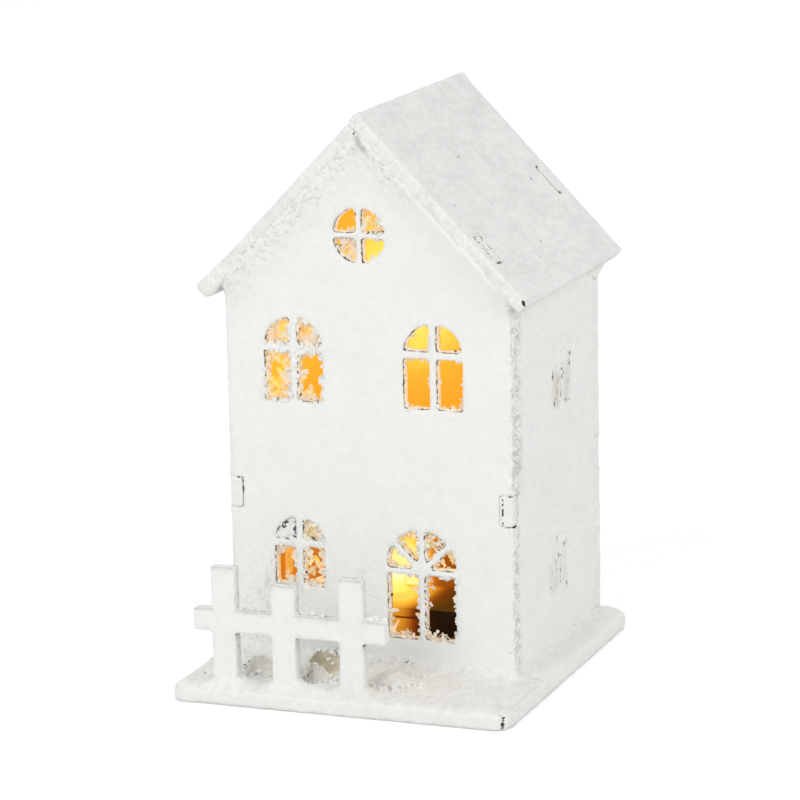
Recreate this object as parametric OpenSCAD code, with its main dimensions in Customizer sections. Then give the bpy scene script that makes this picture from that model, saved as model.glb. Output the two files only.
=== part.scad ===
// Christmas house lantern: a snow-coated board house on a yard plate, lit by a battery lamp.
// Millimetres, Z up, the front of the house faces -Y.
// The origin is the middle of the plate's underside.

/* [House] */
// Outside width of the front wall
house_w = 90; // [84:0.5:94]
// Outside depth, front face to back face
house_d = 82.6; // [76:0.2:86]
// Height of the ridge above the table
ridge_h = 172.6; // [166:0.2:190]
// Roof slope in degrees
pitch = 46; // [44:0.5:48]
// Thickness of the coated wall boards
board_t = 4; // [3.4:0.1:4.6]
// Gap round each tab in its notch or slot
slot_gap = 0.3; // [0.2:0.05:0.45]

/* [Roof] */
// Thickness of the coated roof boards
roof_t = 4; // [3.2:0.1:4.6]
// Length of the right roof board down the slope
roof_l = 74.7; // [72:0.1:78]
// Overhang of the roof past the front and back walls
overhang = 4.3; // [3:0.1:6]
// Length of the gable tabs that lock the roof boards
roof_tab_l = 10.4; // [8:0.2:12]
// Slope distance from the ridge to the front wall's tabs
front_tab_s = 54.3; // [50:0.1:58]
// Slope distance from the ridge to the back wall's tabs
back_tab_s = 43.8; // [40:0.1:58]

/* [Yard plate] */
// Width of the plate
base_w = 105; // [102:0.5:112]
// Depth of the plate
base_d = 119.8; // [118:0.2:124]
// Thickness of the plate
base_t = 4.8; // [4.4:0.1:5.2]
// Radius of the two front corners
front_r = 5; // [2:0.5:6]
// Radius of the two back corners
back_r = 8; // [4:0.5:8]
// Plate left behind the back wall
back_margin = 2; // [1.4:0.1:3]
// Sideways place of the house on the plate
house_x = -2; // [-3.4:0.1:0]

/* [Front windows] */
// Width of the two upper windows
upper_w = 18.2; // [15:0.1:20]
// Sill height of the upper windows above the table
upper_sill = 85.1; // [80:0.1:92]
// Height from sill to the start of the arch
upper_rise = 16.1; // [13:0.1:18]
// Middle of the upper left window
upper_left_x = -23.5; // [-26:0.1:-20]
// Middle of the upper right window
upper_right_x = 20.6; // [18:0.1:24]
// Width of the lower left window
lower_w = 15.6; // [13:0.1:17]
// Sill height of the lower left window
lower_sill = 28.4; // [24:0.1:32]
// Height from sill to arch of the lower left window
lower_rise = 12.9; // [11:0.1:15]
// Middle of the lower left window
lower_x = -22.9; // [-26:0.1:-20]
// Radius of the round gable window
round_r = 8.1; // [6:0.1:9.5]
// Height of the round window's middle
round_z = 135.9; // [130:0.1:138]
// Sideways place of the round window
round_x = -1.8; // [-3:0.1:1]
// Width of the glazing bars
bar_w = 2.6; // [1.8:0.1:3.2]
// Width of the bars in the round window
round_bar = 2; // [1.6:0.1:2.6]

/* [Door] */
// Width of the door opening
door_w = 21.4; // [18:0.1:23]
// Height of the door's sill above the table
door_sill = 14.6; // [12:0.1:18]
// Height from sill to the start of the arch
door_rise = 22.4; // [20:0.1:24]
// Height from sill to the middle of the bar under the fanlight
transom_rise = 20.6; // [18.5:0.1:21.5]
// Width of the door's glazing bars
door_bar = 2.2; // [1.8:0.1:2.8]
// Middle of the door
door_x = 16; // [14:0.1:18]
// Angle of the fanlight's two slanting bars
fan_angle = 45; // [40:1:50]

/* [Side walls] */
// Width of the side windows
side_w = 15.6; // [12:0.1:17]
// Sill height of the upper side windows
side_upper_sill = 78.6; // [70:0.1:84]
// Sill height of the lower side windows
side_lower_sill = 20.8; // [16:0.1:26]
// Height from sill to arch of the side windows
side_rise = 12.8; // [11:0.1:15]
// Place of the upper side windows along the wall
side_upper_y = 4.2; // [-6:0.1:6]
// Place of the lower side windows along the wall
side_lower_y = -0.9; // [-6:0.1:6]
// Height of the middle of the side wall tabs
tab_z = 55.8; // [54:0.1:66]
// Height of the side wall tabs
tab_h = 9.1; // [8:0.1:14]
// Width of the tabs that stand in the plate
foot_tab_w = 12; // [8:0.5:16]
// Distance of the gable walls' feet from the middle
foot_x = 27; // [22:0.5:30]
// Distance of the side walls' feet from the middle
foot_y = 20; // [14:0.5:24]

/* [Picket fence] */
// Thickness of the fence board
fence_t = 4; // [3.4:0.1:4.6]
// Yard plate left in front of the fence
fence_margin = 3; // [2:0.1:6]
// Width of a picket
picket_w = 7.4; // [6:0.1:9]
// Height of the left picket above the table
left_picket_h = 41.3; // [34:0.1:46]
// Height of the middle picket
middle_picket_h = 37; // [34:0.1:46]
// Height of the right picket
right_picket_h = 40.4; // [34:0.1:46]
// Middle of the left picket
left_picket_x = -34.4; // [-37:0.1:-32]
// Middle of the middle picket
middle_picket_x = -15.4; // [-18:0.1:-12]
// Middle of the right picket
right_picket_x = 5.8; // [3:0.1:9]
// Width of the tab under each picket
picket_tab_w = 3.7; // [2.5:0.1:5]
// Underside of the rail above the table
rail_z = 21.6; // [18:0.1:24]
// Height of the rail
rail_h = 6.7; // [5:0.1:8]
// Left end of the rail
rail_left_x = -43.8; // [-46:0.1:-42]
// Right end of the rail
rail_right_x = 16.4; // [14:0.1:20]

/* [Snow mounds] */
// Foot radius of the mounds
mound_r = 10; // [7:0.5:10.5]
// Middle of the left mound
left_mound_x = -29; // [-32:0.5:-26]
// Middle of the middle mound
middle_mound_x = -8; // [-8:0.5:-5]
// Middle of the right mound
right_mound_x = 13; // [13:0.5:20]
// Height of the left mound
left_mound_h = 5; // [3:0.1:8]
// Height of the middle mound
middle_mound_h = 7.5; // [3:0.1:8.5]
// Height of the right mound
right_mound_h = 6; // [3:0.1:8]

/* [Battery lamp] */
// Diameter of a cell
cell_d = 10.5; // [10:0.1:10.5]
// Length of a cell with its button
cell_l = 44.5; // [43.5:0.1:44.5]
// Wall of the battery case
case_wall = 1.6; // [1.4:0.1:2]
// Gap between the case and its opening in the plate
case_gap = 0.5; // [0.4:0.1:0.8]
// Height of the door's outside face above the table
door_z = 1.2; // [1:0.1:1.4]
// Thickness of the battery door
lid_t = 1.4; // [1.2:0.1:1.6]
// Sideways place of the lamp from the middle of the house
lamp_x = -7.5; // [-10:0.5:0]
// Diameter of the lamp lens
lens_d = 5; // [4.6:0.1:5.2]
// Travel of the switch knob
switch_travel = 2; // [1.5:0.1:2.4]
// Gap round screws and other round pieces
round_gap = 0.3; // [0.3:0.05:0.4]

/* [Hidden] */

fine = 64;
coil_fn = 6;
coil_steps = 12;
cut = 1;
tab_short = 0.3;
house_y = base_d / 2 - back_margin - house_d / 2;
gable_z = ridge_h - roof_t / cos(pitch);
shoulder_z = gable_z - house_w / 2 * tan(pitch);
side_top_gap = 0.2;
inner_y = house_d / 2 - board_t;
roof_depth = house_d + 2 * overhang;
ridge_lap = roof_t * (1 + max(0, -cos(2 * pitch))) / sin(2 * pitch);
fence_y = -base_d / 2 + fence_margin - house_y;
yard_y = (fence_y + fence_t - house_d / 2) / 2;

side_play = 0.4;
cell_gap = 0.7;
spring_l = 5;
contact_t = 0.4;
contact_h = 8.6;
contact_w = 7.2;
strip_w = 2;
spring_r = 3.2;
spring_tip_r = 1.8;
spring_wire = 0.6;
spring_turns = 4;
button_d = 3.8;
button_h = 0.8;
end_block = 5.5;
board_bay = 9;
cell_play = 0.2;
bay_l = cell_l + spring_l + 2 * contact_t + cell_play;
bay_w = 2 * cell_d + cell_gap + 2 * side_play;
case_l = end_block + bay_l + end_block + board_bay + case_wall;
case_w = bay_w + 2 * case_wall;
case_z = door_z + lid_t;
axis_z = case_z + round_gap + cell_d / 2;
ceiling_z = axis_z + cell_d / 2 + round_gap;
case_top = ceiling_z + case_wall;
case_x0 = -case_l / 2;
bay_x0 = case_x0 + end_block;
bay_x1 = bay_x0 + bay_l;
board_x0 = bay_x1 + end_block;
board_x1 = case_l / 2 - case_wall;
cell_y = (cell_d + cell_gap) / 2;
flange_t = 1.6;
flange_w = 5.5;
flange_screw_in = 6;
flange_x = case_l / 2 - flange_screw_in;
flange_y = case_w / 2 + flange_w / 2;
screw_d = 1.7;
screw_head_d = 3.6;
screw_head_h = 0.8;
screw_l = 6;
cross_l = 2.2;
cross_w = 0.5;
cross_depth = 0.45;
mount_screw_l = 5;
lid_gap = 0.3;
lid_end = board_x0 - lid_gap;
groove_step = 2.4;
groove_w = 1.2;
groove_l = 10;
groove_depth = 0.5;
door_screw_x = [case_x0 + end_block / 2, bay_x1 + end_block / 2];
collar_h = 1.8;
collar_lip = 0.6;
collar_wall = 1.7;
collar_d = lens_d + 2 * collar_wall;
lens_z = case_top + collar_h;
rim_w = 0.4;
rim_d = lens_d + 2 * rim_w;
rim_h = 1;
lens_h = 8.6;
lead_w = 0.5;
lead_y = 1.27;
wire_d = 0.9;
wire_drop = 1.2;
wire_z = ceiling_z - wire_drop;
pcb_t = 1.2;
pcb_gap = 0.6;
pcb_x = board_x0 + pcb_gap;
pcb_w = 20;
switch_l = 8.6;
switch_depth = 3.6;
switch_h = 3.5;
knob_w = 1.8;
knob_z = 0.4;
knob_play = 0.2;
knob_x = pcb_x + pcb_t + switch_depth / 2;
knob_rest_y = switch_travel / 2;

// Places a piece in the middle of the house
module at_house() {
    translate([house_x, house_y, 0])
        children();
}

// Turns a drawing of width and height into an upright board that faces the front
module upright(y, t) {
    translate([0, y + t, 0])
        rotate([90, 0, 0])
            linear_extrude(t)
                children();
}

// Turns a drawing of depth and height into a board that faces sideways
module sideways(x, t) {
    translate([x, 0, 0])
        rotate([90, 0, 90])
            linear_extrude(t)
                children();
}

// Outline of an opening with a round arch on top
module arch(w, rise) {
    translate([-w / 2, 0])
        square([w, rise]);
    translate([0, rise])
        circle(d = w, $fn = fine);
}

// Window panes: an arch with an upright bar and a bar at the start of the arch
module window_panes(w, rise, bar) {
    difference() {
        arch(w, rise);
        translate([-bar / 2, -cut])
            square([bar, rise + w]);
        translate([-w, rise - bar / 2])
            square([2 * w, bar]);
    }
}

// Door panes: two tall panes under a fanlight of four panes
module door_panes() {
    difference() {
        arch(door_w, door_rise);
        translate([-door_bar / 2, -cut])
            square([door_bar, door_rise + door_w]);
        translate([-door_w, transom_rise - door_bar / 2])
            square([2 * door_w, door_bar]);
        for (side = [-1, 1])
            translate([0, transom_rise])
                rotate(side * fan_angle)
                    translate([-door_bar / 2, 0])
                        square([door_bar, door_w]);
    }
}

// Round window panes with a cross of bars
module round_panes() {
    difference() {
        circle(r = round_r, $fn = fine);
        square([round_bar, 3 * round_r], center = true);
        square([3 * round_r, round_bar], center = true);
    }
}

// Gable outline with its feet and its two roof tabs
module gable(tab_s) {
    polygon([
        [-house_w / 2, base_t],
        [house_w / 2, base_t],
        [house_w / 2, shoulder_z],
        [0, gable_z],
        [-house_w / 2, shoulder_z]
    ]);
    for (side = [-1, 1])
        translate([side * foot_x - foot_tab_w / 2, tab_short])
            square([foot_tab_w, base_t]);
    for (side = [-1, 1])
        translate([0, ridge_h])
            rotate(-side * pitch)
                translate([side * tab_s - roof_tab_l / 2, -roof_t - cut])
                    square([roof_tab_l, roof_t + cut - tab_short]);
}

// Notches in both edges of a gable wall for the side walls' tabs
module tab_notches() {
    for (side = [-1, 1])
        translate([side * house_w / 2, tab_z])
            square([2 * (board_t + slot_gap), tab_h + 2 * slot_gap], center = true);
}

// Side wall with its feet, edge tabs and two windows
module side_board() {
    difference() {
        union() {
            translate([-inner_y, base_t])
                square([2 * inner_y, shoulder_z - side_top_gap - base_t]);
            for (side = [-1, 1])
                translate([side * foot_y - foot_tab_w / 2, tab_short])
                    square([foot_tab_w, base_t]);
            translate([-house_d / 2, tab_z - tab_h / 2])
                square([house_d, tab_h]);
        }
        translate([side_upper_y, side_upper_sill])
            window_panes(side_w, side_rise, bar_w);
        translate([side_lower_y, side_lower_sill])
            window_panes(side_w, side_rise, bar_w);
    }
}

// One roof board lying along its slope, with the slots for the gable tabs
module roof_board(start) {
    difference() {
        translate([start, -roof_depth / 2, -roof_t])
            cube([roof_l - start, roof_depth, roof_t]);
        roof_slot(front_tab_s, -house_d / 2);
        roof_slot(back_tab_s, inner_y);
    }
}

module roof_slot(s, y) {
    translate([s - roof_tab_l / 2 - slot_gap, y - slot_gap, -roof_t - cut])
        cube([roof_tab_l + 2 * slot_gap, board_t + 2 * slot_gap, roof_t + 2 * cut]);
}

// Outline of the yard plate
module plate_outline() {
    translate([-base_w / 2, -base_d / 2 + front_r])
        square([base_w, base_d - front_r - back_r]);
    translate([-base_w / 2 + front_r, -base_d / 2])
        square([base_w - 2 * front_r, front_r + cut]);
    translate([-base_w / 2 + back_r, base_d / 2 - back_r - cut])
        square([base_w - 2 * back_r, back_r + cut]);
    for (side = [-1, 1]) {
        translate([side * (base_w / 2 - front_r), -base_d / 2 + front_r])
            circle(r = front_r, $fn = fine);
        translate([side * (base_w / 2 - back_r), base_d / 2 - back_r])
            circle(r = back_r, $fn = fine);
    }
}

// A slot in the plate for a tab of the given width and thickness
module plate_slot(x, y, w, t) {
    translate([x - w / 2 - slot_gap, y - slot_gap])
        square([w + 2 * slot_gap, t + 2 * slot_gap]);
}

// All slots for the feet of the walls and of the fence, seen from above the house's middle
module plate_slots() {
    for (side = [-1, 1]) {
        plate_slot(side * foot_x, -house_d / 2, foot_tab_w, board_t);
        plate_slot(side * foot_x, inner_y, foot_tab_w, board_t);
        plate_slot(-house_w / 2 + board_t / 2, side * foot_y - foot_tab_w / 2, board_t, foot_tab_w);
        plate_slot(house_w / 2 - board_t / 2, side * foot_y - foot_tab_w / 2, board_t, foot_tab_w);
    }
    for (x = [left_picket_x, middle_picket_x, right_picket_x])
        plate_slot(x, fence_y, picket_tab_w, fence_t);
}

// Yard plate that carries the house, with the opening for the battery case
module base_plate() {
    color([0.93, 0.93, 0.91])
        difference() {
            linear_extrude(base_t)
                plate_outline();
            at_house()
                translate([0, 0, -cut])
                    linear_extrude(base_t + 2 * cut)
                        plate_slots();
            at_house()
                translate([0, 0, base_t / 2])
                    cube([case_l + 2 * case_gap, case_w + 2 * case_gap, base_t + 2 * cut],
                        center = true);
            at_house()
                mount_screw_places()
                    translate([0, 0, base_t + flange_t - mount_screw_l - round_gap])
                        cylinder(d = screw_d + 2 * round_gap, h = base_t + mount_screw_l, $fn = 32);
        }
}

module front_wall() {
    color([0.95, 0.95, 0.93])
        at_house()
            upright(-house_d / 2, board_t)
                difference() {
                    gable(front_tab_s);
                    tab_notches();
                    translate([upper_left_x, upper_sill])
                        window_panes(upper_w, upper_rise, bar_w);
                    translate([upper_right_x, upper_sill])
                        window_panes(upper_w, upper_rise, bar_w);
                    translate([lower_x, lower_sill])
                        window_panes(lower_w, lower_rise, bar_w);
                    translate([round_x, round_z])
                        round_panes();
                    translate([door_x, door_sill])
                        door_panes();
                }
}

module back_wall() {
    color([0.95, 0.95, 0.93])
        at_house()
            upright(inner_y, board_t)
                difference() {
                    gable(back_tab_s);
                    tab_notches();
                }
}

module left_wall() {
    color([0.92, 0.92, 0.9])
        at_house()
            sideways(-house_w / 2, board_t)
                side_board();
}

module right_wall() {
    color([0.92, 0.92, 0.9])
        at_house()
            sideways(house_w / 2 - board_t, board_t)
                side_board();
}

// The left board ends under the right one at the ridge
module left_roof_board() {
    color([0.89, 0.89, 0.87])
        at_house()
            mirror([1, 0, 0])
                translate([0, 0, ridge_h])
                    rotate([0, pitch, 0])
                        roof_board(ridge_lap);
}

module right_roof_board() {
    color([0.89, 0.89, 0.87])
        at_house()
            translate([0, 0, ridge_h])
                rotate([0, pitch, 0])
                    roof_board(0);
}

// One picket with its foot in the plate
module picket(x, h) {
    translate([x - picket_w / 2, base_t])
        square([picket_w, h - base_t]);
    translate([x - picket_tab_w / 2, tab_short])
        square([picket_tab_w, base_t]);
}

module picket_fence() {
    color([0.95, 0.95, 0.93])
        at_house()
            upright(fence_y, fence_t) {
                picket(left_picket_x, left_picket_h);
                picket(middle_picket_x, middle_picket_h);
                picket(right_picket_x, right_picket_h);
                translate([rail_left_x, rail_z])
                    square([rail_right_x - rail_left_x, rail_h]);
            }
}

// A heap of snow: the cap of a ball
module mound(x, h) {
    ball_r = (mound_r * mound_r + h * h) / (2 * h);
    translate([x, yard_y, base_t])
        intersection() {
            translate([0, 0, h - ball_r])
                sphere(r = ball_r, $fn = fine);
            translate([-mound_r - cut, -mound_r - cut, 0])
                cube([2 * (mound_r + cut), 2 * (mound_r + cut), h + cut]);
        }
}

module snow_mounds() {
    color([0.88, 0.88, 0.85])
        at_house() {
            mound(left_mound_x, left_mound_h);
            mound(middle_mound_x, middle_mound_h);
            mound(right_mound_x, right_mound_h);
        }
}

// The four places of the screws that hold the battery case on the plate
module mount_screw_places() {
    for (sx = [-1, 1], sy = [-1, 1])
        translate([sx * flange_x, sy * flange_y, 0])
            children();
}

// A cross-recessed screw, head up, with the underside of its head at zero
module screw(length) {
    difference() {
        union() {
            translate([0, 0, -length])
                cylinder(d = screw_d, h = length + screw_head_h / 2, $fn = 32);
            cylinder(d = screw_head_d, h = screw_head_h, $fn = 32);
        }
        for (turn = [0, 90])
            rotate(turn)
                translate([-cross_l / 2, -cross_w / 2, screw_head_h - cross_depth])
                    cube([cross_l, cross_w, cut]);
    }
}

// Black case for two cells and the switch board, open towards the table
module battery_case() {
    color([0.06, 0.06, 0.06])
        at_house()
            difference() {
                union() {
                    translate([case_x0, -case_w / 2, case_z])
                        cube([case_l, case_w, case_top - case_z]);
                    translate([case_x0, -case_w / 2 - flange_w, base_t])
                        cube([case_l, case_w + 2 * flange_w, flange_t]);
                    translate([lamp_x, 0, case_top - cut])
                        cylinder(d = collar_d, h = collar_h + cut, $fn = fine);
                }
                translate([bay_x0, -bay_w / 2, case_z - cut])
                    cube([bay_l, bay_w, ceiling_z - case_z + cut]);
                translate([board_x0, -bay_w / 2, case_z - cut])
                    cube([board_bay, bay_w, ceiling_z - case_z + cut]);
                // way for the wires and the contact strips from bay to board
                translate([bay_x1 - cut, -bay_w / 2, wire_z - wire_d])
                    cube([end_block + 2 * cut, bay_w, ceiling_z - wire_z + wire_d]);
                translate([lamp_x, 0, ceiling_z - cut])
                    cylinder(d = lens_d - collar_lip, h = case_top + collar_h, $fn = fine);
                for (x = door_screw_x)
                    translate([x, 0, case_z - cut])
                        cylinder(d = screw_d + 2 * round_gap, h = screw_l + cut, $fn = 32);
                mount_screw_places()
                    translate([0, 0, base_t - cut])
                        cylinder(d = screw_d + 2 * round_gap, h = flange_t + 2 * cut, $fn = 32);
            }
}

module case_screws() {
    color([0.7, 0.7, 0.68])
        at_house()
            mount_screw_places()
                translate([0, 0, base_t + flange_t])
                    screw(mount_screw_l);
}

// Door over the cells: two screws hold it against the case
module battery_door() {
    color([0.08, 0.08, 0.08])
        at_house()
            difference() {
                translate([case_x0, -case_w / 2, door_z])
                    cube([lid_end - case_x0, case_w, lid_t]);
                for (x = door_screw_x) {
                    translate([x, 0, door_z - cut])
                        cylinder(d = screw_head_d + 2 * round_gap, h = cut + screw_head_h,
                            $fn = 32);
                    translate([x, 0, door_z - cut])
                        cylinder(d = screw_d + 2 * round_gap, h = lid_t + 2 * cut, $fn = 32);
                }
                // grip grooves for the fingertips
                for (i = [-2 : 2])
                    translate([(case_x0 + lid_end) / 2 + i * groove_step - groove_w / 2,
                        -groove_l / 2, door_z - cut])
                        cube([groove_w, groove_l, cut + groove_depth]);
            }
}

module door_screws() {
    color([0.7, 0.7, 0.68])
        at_house()
            for (x = door_screw_x)
                translate([x, 0, door_z + screw_head_h])
                    rotate([180, 0, 0])
                        screw(screw_l);
}

// Plate under the switch board, with a slot for the knob
module switch_cover() {
    color([0.08, 0.08, 0.08])
        at_house()
            difference() {
                translate([board_x0, -case_w / 2, door_z])
                    cube([case_l / 2 - board_x0, case_w, lid_t]);
                knob_slot(door_z - cut, lid_t + 2 * cut);
            }
}

// The slot that the knob runs in
module knob_slot(z, h) {
    slot_l = knob_w + switch_travel + 2 * knob_play;
    translate([knob_x - knob_w / 2 - knob_play, -slot_l / 2, z])
        cube([knob_w + 2 * knob_play, slot_l, h]);
}

module switch_body() {
    color([0.72, 0.73, 0.74])
        at_house()
            difference() {
                translate([pcb_x + pcb_t, -switch_l / 2, case_z])
                    cube([switch_depth, switch_l, switch_h]);
                knob_slot(case_z - cut, cut + switch_h / 2);
            }
}

module switch_knob() {
    color([0.12, 0.12, 0.12])
        at_house()
            translate([knob_x - knob_w / 2, knob_rest_y - knob_w / 2, knob_z])
                cube([knob_w, knob_w, case_z + switch_h / 2 - knob_play - knob_z]);
}

// Small board that carries the switch and feeds the lamp
module circuit_board() {
    color([0.1, 0.35, 0.2])
        at_house()
            translate([pcb_x, -pcb_w / 2, case_z])
                cube([pcb_t, pcb_w, ceiling_z - case_z - lid_gap]);
}

// A cell along X, its button towards +X, its flat end at zero
module cell() {
    rotate([0, 90, 0]) {
        cylinder(d = cell_d, h = cell_l - button_h, $fn = fine);
        cylinder(d = button_d, h = cell_l, $fn = 32);
    }
}

module left_cell() {
    color([0.55, 0.56, 0.58])
        at_house()
            translate([bay_x0 + contact_t + spring_l, cell_y, axis_z])
                cell();
}

module right_cell() {
    color([0.55, 0.56, 0.58])
        at_house()
            translate([bay_x1 - contact_t - spring_l, -cell_y, axis_z])
                mirror([1, 0, 0])
                    cell();
}

// A coil of wire that narrows from r0 to r1 along X
module coil(r0, r1, length, turns, wire) {
    steps = turns * coil_steps;
    path = [
        for (i = [0 : steps]) let (a = i * 360 / coil_steps, r = r0 + (r1 - r0) * i / steps)
            [wire / 2 + (length - wire) * i / steps, r * cos(a), r * sin(a)]
    ];
    gaps = [
        for (i = [0 : steps - coil_steps / 2], j = [i + coil_steps / 2 : steps])
            norm(path[i] - path[j]) - wire
    ];
    echo(least_gap_of_coil = min(gaps));
    ring = [for (k = [0 : coil_fn - 1]) [cos(k * 360 / coil_fn), sin(k * 360 / coil_fn)]];
    points = [
        for (i = [0 : steps]) let (
            a = i * 360 / coil_steps
        )
            for (c = ring)
                path[i] + wire / 2 * [c[1], c[0] * cos(a), c[0] * sin(a)]
    ];
    sides = [
        for (i = [0 : steps - 1], k = [0 : coil_fn - 1]) let (
            j = (k + 1) % coil_fn,
            p = i * coil_fn,
            q = (i + 1) * coil_fn
        )
            [p + k, p + j, q + j, q + k]
    ];
    ends = [
        [for (k = [coil_fn - 1 : -1 : 0]) k],
        [for (k = [0 : coil_fn - 1]) steps * coil_fn + k]
    ];
    polyhedron(points, concat(sides, ends));
}

// The springs that press on the flat ends of the cells
module contact_springs() {
    color([0.75, 0.74, 0.7])
        at_house() {
            translate([bay_x0 + contact_t, cell_y, axis_z])
                coil(spring_r, spring_tip_r, spring_l, spring_turns, spring_wire);
            translate([bay_x1 - contact_t, -cell_y, axis_z])
                rotate([0, 180, 0])
                    coil(spring_r, spring_tip_r, spring_l, spring_turns, spring_wire);
        }
}

// One end plate of the cell bay
module contact_plate(x, y, w) {
    translate([x, y - w / 2, axis_z - contact_h / 2])
        cube([contact_t, w, contact_h]);
}

module bridge_contact() {
    color([0.75, 0.74, 0.7])
        at_house()
            contact_plate(bay_x0, 0, 2 * cell_y + contact_w);
}

// A contact with the strip that leads over the end block to the board
module board_contact(y) {
    contact_plate(bay_x1 - contact_t, y, contact_w);
    translate([bay_x1 - contact_t, y - strip_w / 2, axis_z])
        cube([contact_t, strip_w, wire_z - axis_z + contact_t]);
    translate([bay_x1 - contact_t, y - strip_w / 2, wire_z])
        cube([pcb_x - bay_x1 + contact_t, strip_w, contact_t]);
}

module plus_contact() {
    color([0.75, 0.74, 0.7])
        at_house()
            board_contact(cell_y);
}

module minus_contact() {
    color([0.75, 0.74, 0.7])
        at_house()
            board_contact(-cell_y);
}

// Clear lamp lens with its rim and round top
module lamp_lens() {
    color([1, 0.85, 0.5])
        at_house()
            translate([lamp_x, 0, lens_z]) {
                cylinder(d = rim_d, h = rim_h, $fn = fine);
                cylinder(d = lens_d, h = lens_h - lens_d / 2, $fn = fine);
                translate([0, 0, lens_h - lens_d / 2])
                    sphere(d = lens_d, $fn = fine);
            }
}

// The two legs of the lamp
module lamp_leads() {
    color([0.75, 0.74, 0.7])
        at_house()
            for (side = [-1, 1])
                translate([lamp_x - lead_w / 2, side * lead_y - lead_w / 2, wire_z - wire_d / 2])
                    cube([lead_w, lead_w, lens_z - wire_z + wire_d / 2]);
}

// A wire from the board along the groove between the cells to a leg of the lamp
module lamp_wire(side) {
    at_house()
        translate([lamp_x + lead_w / 2, side * lead_y, wire_z])
            rotate([0, 90, 0])
                cylinder(d = wire_d, h = pcb_x - lamp_x - lead_w / 2, $fn = 32);
}

module red_wire() {
    color([0.6, 0.08, 0.06])
        lamp_wire(1);
}

module black_wire() {
    color([0.08, 0.08, 0.08])
        lamp_wire(-1);
}

base_plate();
front_wall();
back_wall();
left_wall();
right_wall();
left_roof_board();
right_roof_board();
picket_fence();
snow_mounds();
battery_case();
case_screws();
battery_door();
door_screws();
switch_cover();
switch_body();
switch_knob();
circuit_board();
left_cell();
right_cell();
contact_springs();
bridge_contact();
plus_contact();
minus_contact();
lamp_lens();
lamp_leads();
red_wire();
black_wire();
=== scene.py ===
import itertools
import math
import random

import bmesh
import bpy
import numpy as np
from mathutils import Matrix, Vector


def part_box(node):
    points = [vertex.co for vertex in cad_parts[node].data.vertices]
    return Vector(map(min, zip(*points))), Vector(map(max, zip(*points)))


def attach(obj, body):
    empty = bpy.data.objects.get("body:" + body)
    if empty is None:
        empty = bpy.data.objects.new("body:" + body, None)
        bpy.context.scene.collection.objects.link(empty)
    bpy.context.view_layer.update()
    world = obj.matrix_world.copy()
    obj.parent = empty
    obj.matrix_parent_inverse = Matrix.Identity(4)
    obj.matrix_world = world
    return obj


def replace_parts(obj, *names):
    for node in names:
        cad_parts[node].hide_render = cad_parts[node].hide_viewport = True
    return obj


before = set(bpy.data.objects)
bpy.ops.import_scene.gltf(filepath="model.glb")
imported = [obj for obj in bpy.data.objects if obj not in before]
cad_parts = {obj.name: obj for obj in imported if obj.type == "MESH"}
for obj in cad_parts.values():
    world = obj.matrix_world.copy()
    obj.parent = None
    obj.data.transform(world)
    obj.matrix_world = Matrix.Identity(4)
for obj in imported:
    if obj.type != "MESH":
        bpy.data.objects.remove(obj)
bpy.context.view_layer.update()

# The house lantern, dressed: snow-grit coat on every board, flakes in the panes, lamp light inside.
# Sizes in the tables below are millimetres from the middle of the house, heights from the table.

MM = 0.001
SEED = 20
X, Y, Z = 0, 1, 2

# House sizes, read from the solids
front_low, front_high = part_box("front_wall")
back_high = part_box("back_wall")[1]
HOUSE = Vector(((front_low.x + front_high.x) / 2, (front_low.y + back_high.y) / 2, 0))
HALF_W = (front_high.x - front_low.x) / 2 / MM
HALF_D = (back_high.y - front_low.y) / 2 / MM
BOARD = (front_high.y - front_low.y) / MM
INNER_X = HALF_W - BOARD
INNER_Y = HALF_D - BOARD
PLATE_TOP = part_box("base_plate")[1].z / MM
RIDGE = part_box("right_roof_board")[1].z / MM
EAVE_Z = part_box("right_wall")[1].z / MM
PITCH = math.radians(46)
ROOF_T = 4
UNDER_RIDGE = RIDGE - ROOF_T / math.cos(PITCH)
LAMP = (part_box("lamp_lens")[0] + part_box("lamp_lens")[1]) / 2

# Tabs and slots, whose gaps show as broken dark lines of painted shade
TAB_Z = 55.8
TAB_H = 9.1
SLOT_GAP = 0.3
FRONT_TAB_S = 54.3
BACK_TAB_S = 43.8
ROOF_TAB_L = 10.4
ROOF_L = 74.7
ROOF_TAB_HALF = (ROOF_TAB_L / 2 + SLOT_GAP / 2, BOARD / 2 + SLOT_GAP / 2)
OVERHANG = 4.3
RAKE_Y = HALF_D + OVERHANG
TAB_Y = (HALF_D + INNER_Y) / 2
TAB_REACH = 10

# Yard plate and fence
PLATE_MID = (-HOUSE.x / MM, -HOUSE.y / MM)
PLATE_HALF = tuple(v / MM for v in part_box("base_plate")[1][:2])
PLATE_CORNER = 5
FENCE_LOW, FENCE_HIGH = ((v - HOUSE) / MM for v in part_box("picket_fence"))
PICKET_HALF = 3.7
PICKETS = tuple((x, PICKET_HALF) for x in (-34.4, -15.4, 5.8))
PICKET_TOPS = (41.3, 37.0, 40.4)
RAIL = (21.6, 28.3)

# Glazing bars
BAR = 2.6
ROUND_BAR = 2.0
DOOR_BAR = 2.2
ARC_STEPS = 7


# ---------------------------------------------------------------- camera

CAMERA_AZIMUTH = math.radians(21.04)
CAMERA_ELEVATION = math.radians(12.71)
CAMERA_ROLL = math.radians(1.11)
CAMERA_AIM = Vector((0, 0, 80))
CAMERA_OFF = Vector((5.2, 2.14, -1156.37))
PHOTO_SIDE = 800
SENSOR = 36
CAMERA_LENS = 3784.93 / PHOTO_SIDE * SENSOR


def link_object(name, data):
    """A new object in the scene."""
    made = bpy.data.objects.new(name, data)
    bpy.context.scene.collection.objects.link(made)
    return made


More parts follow.
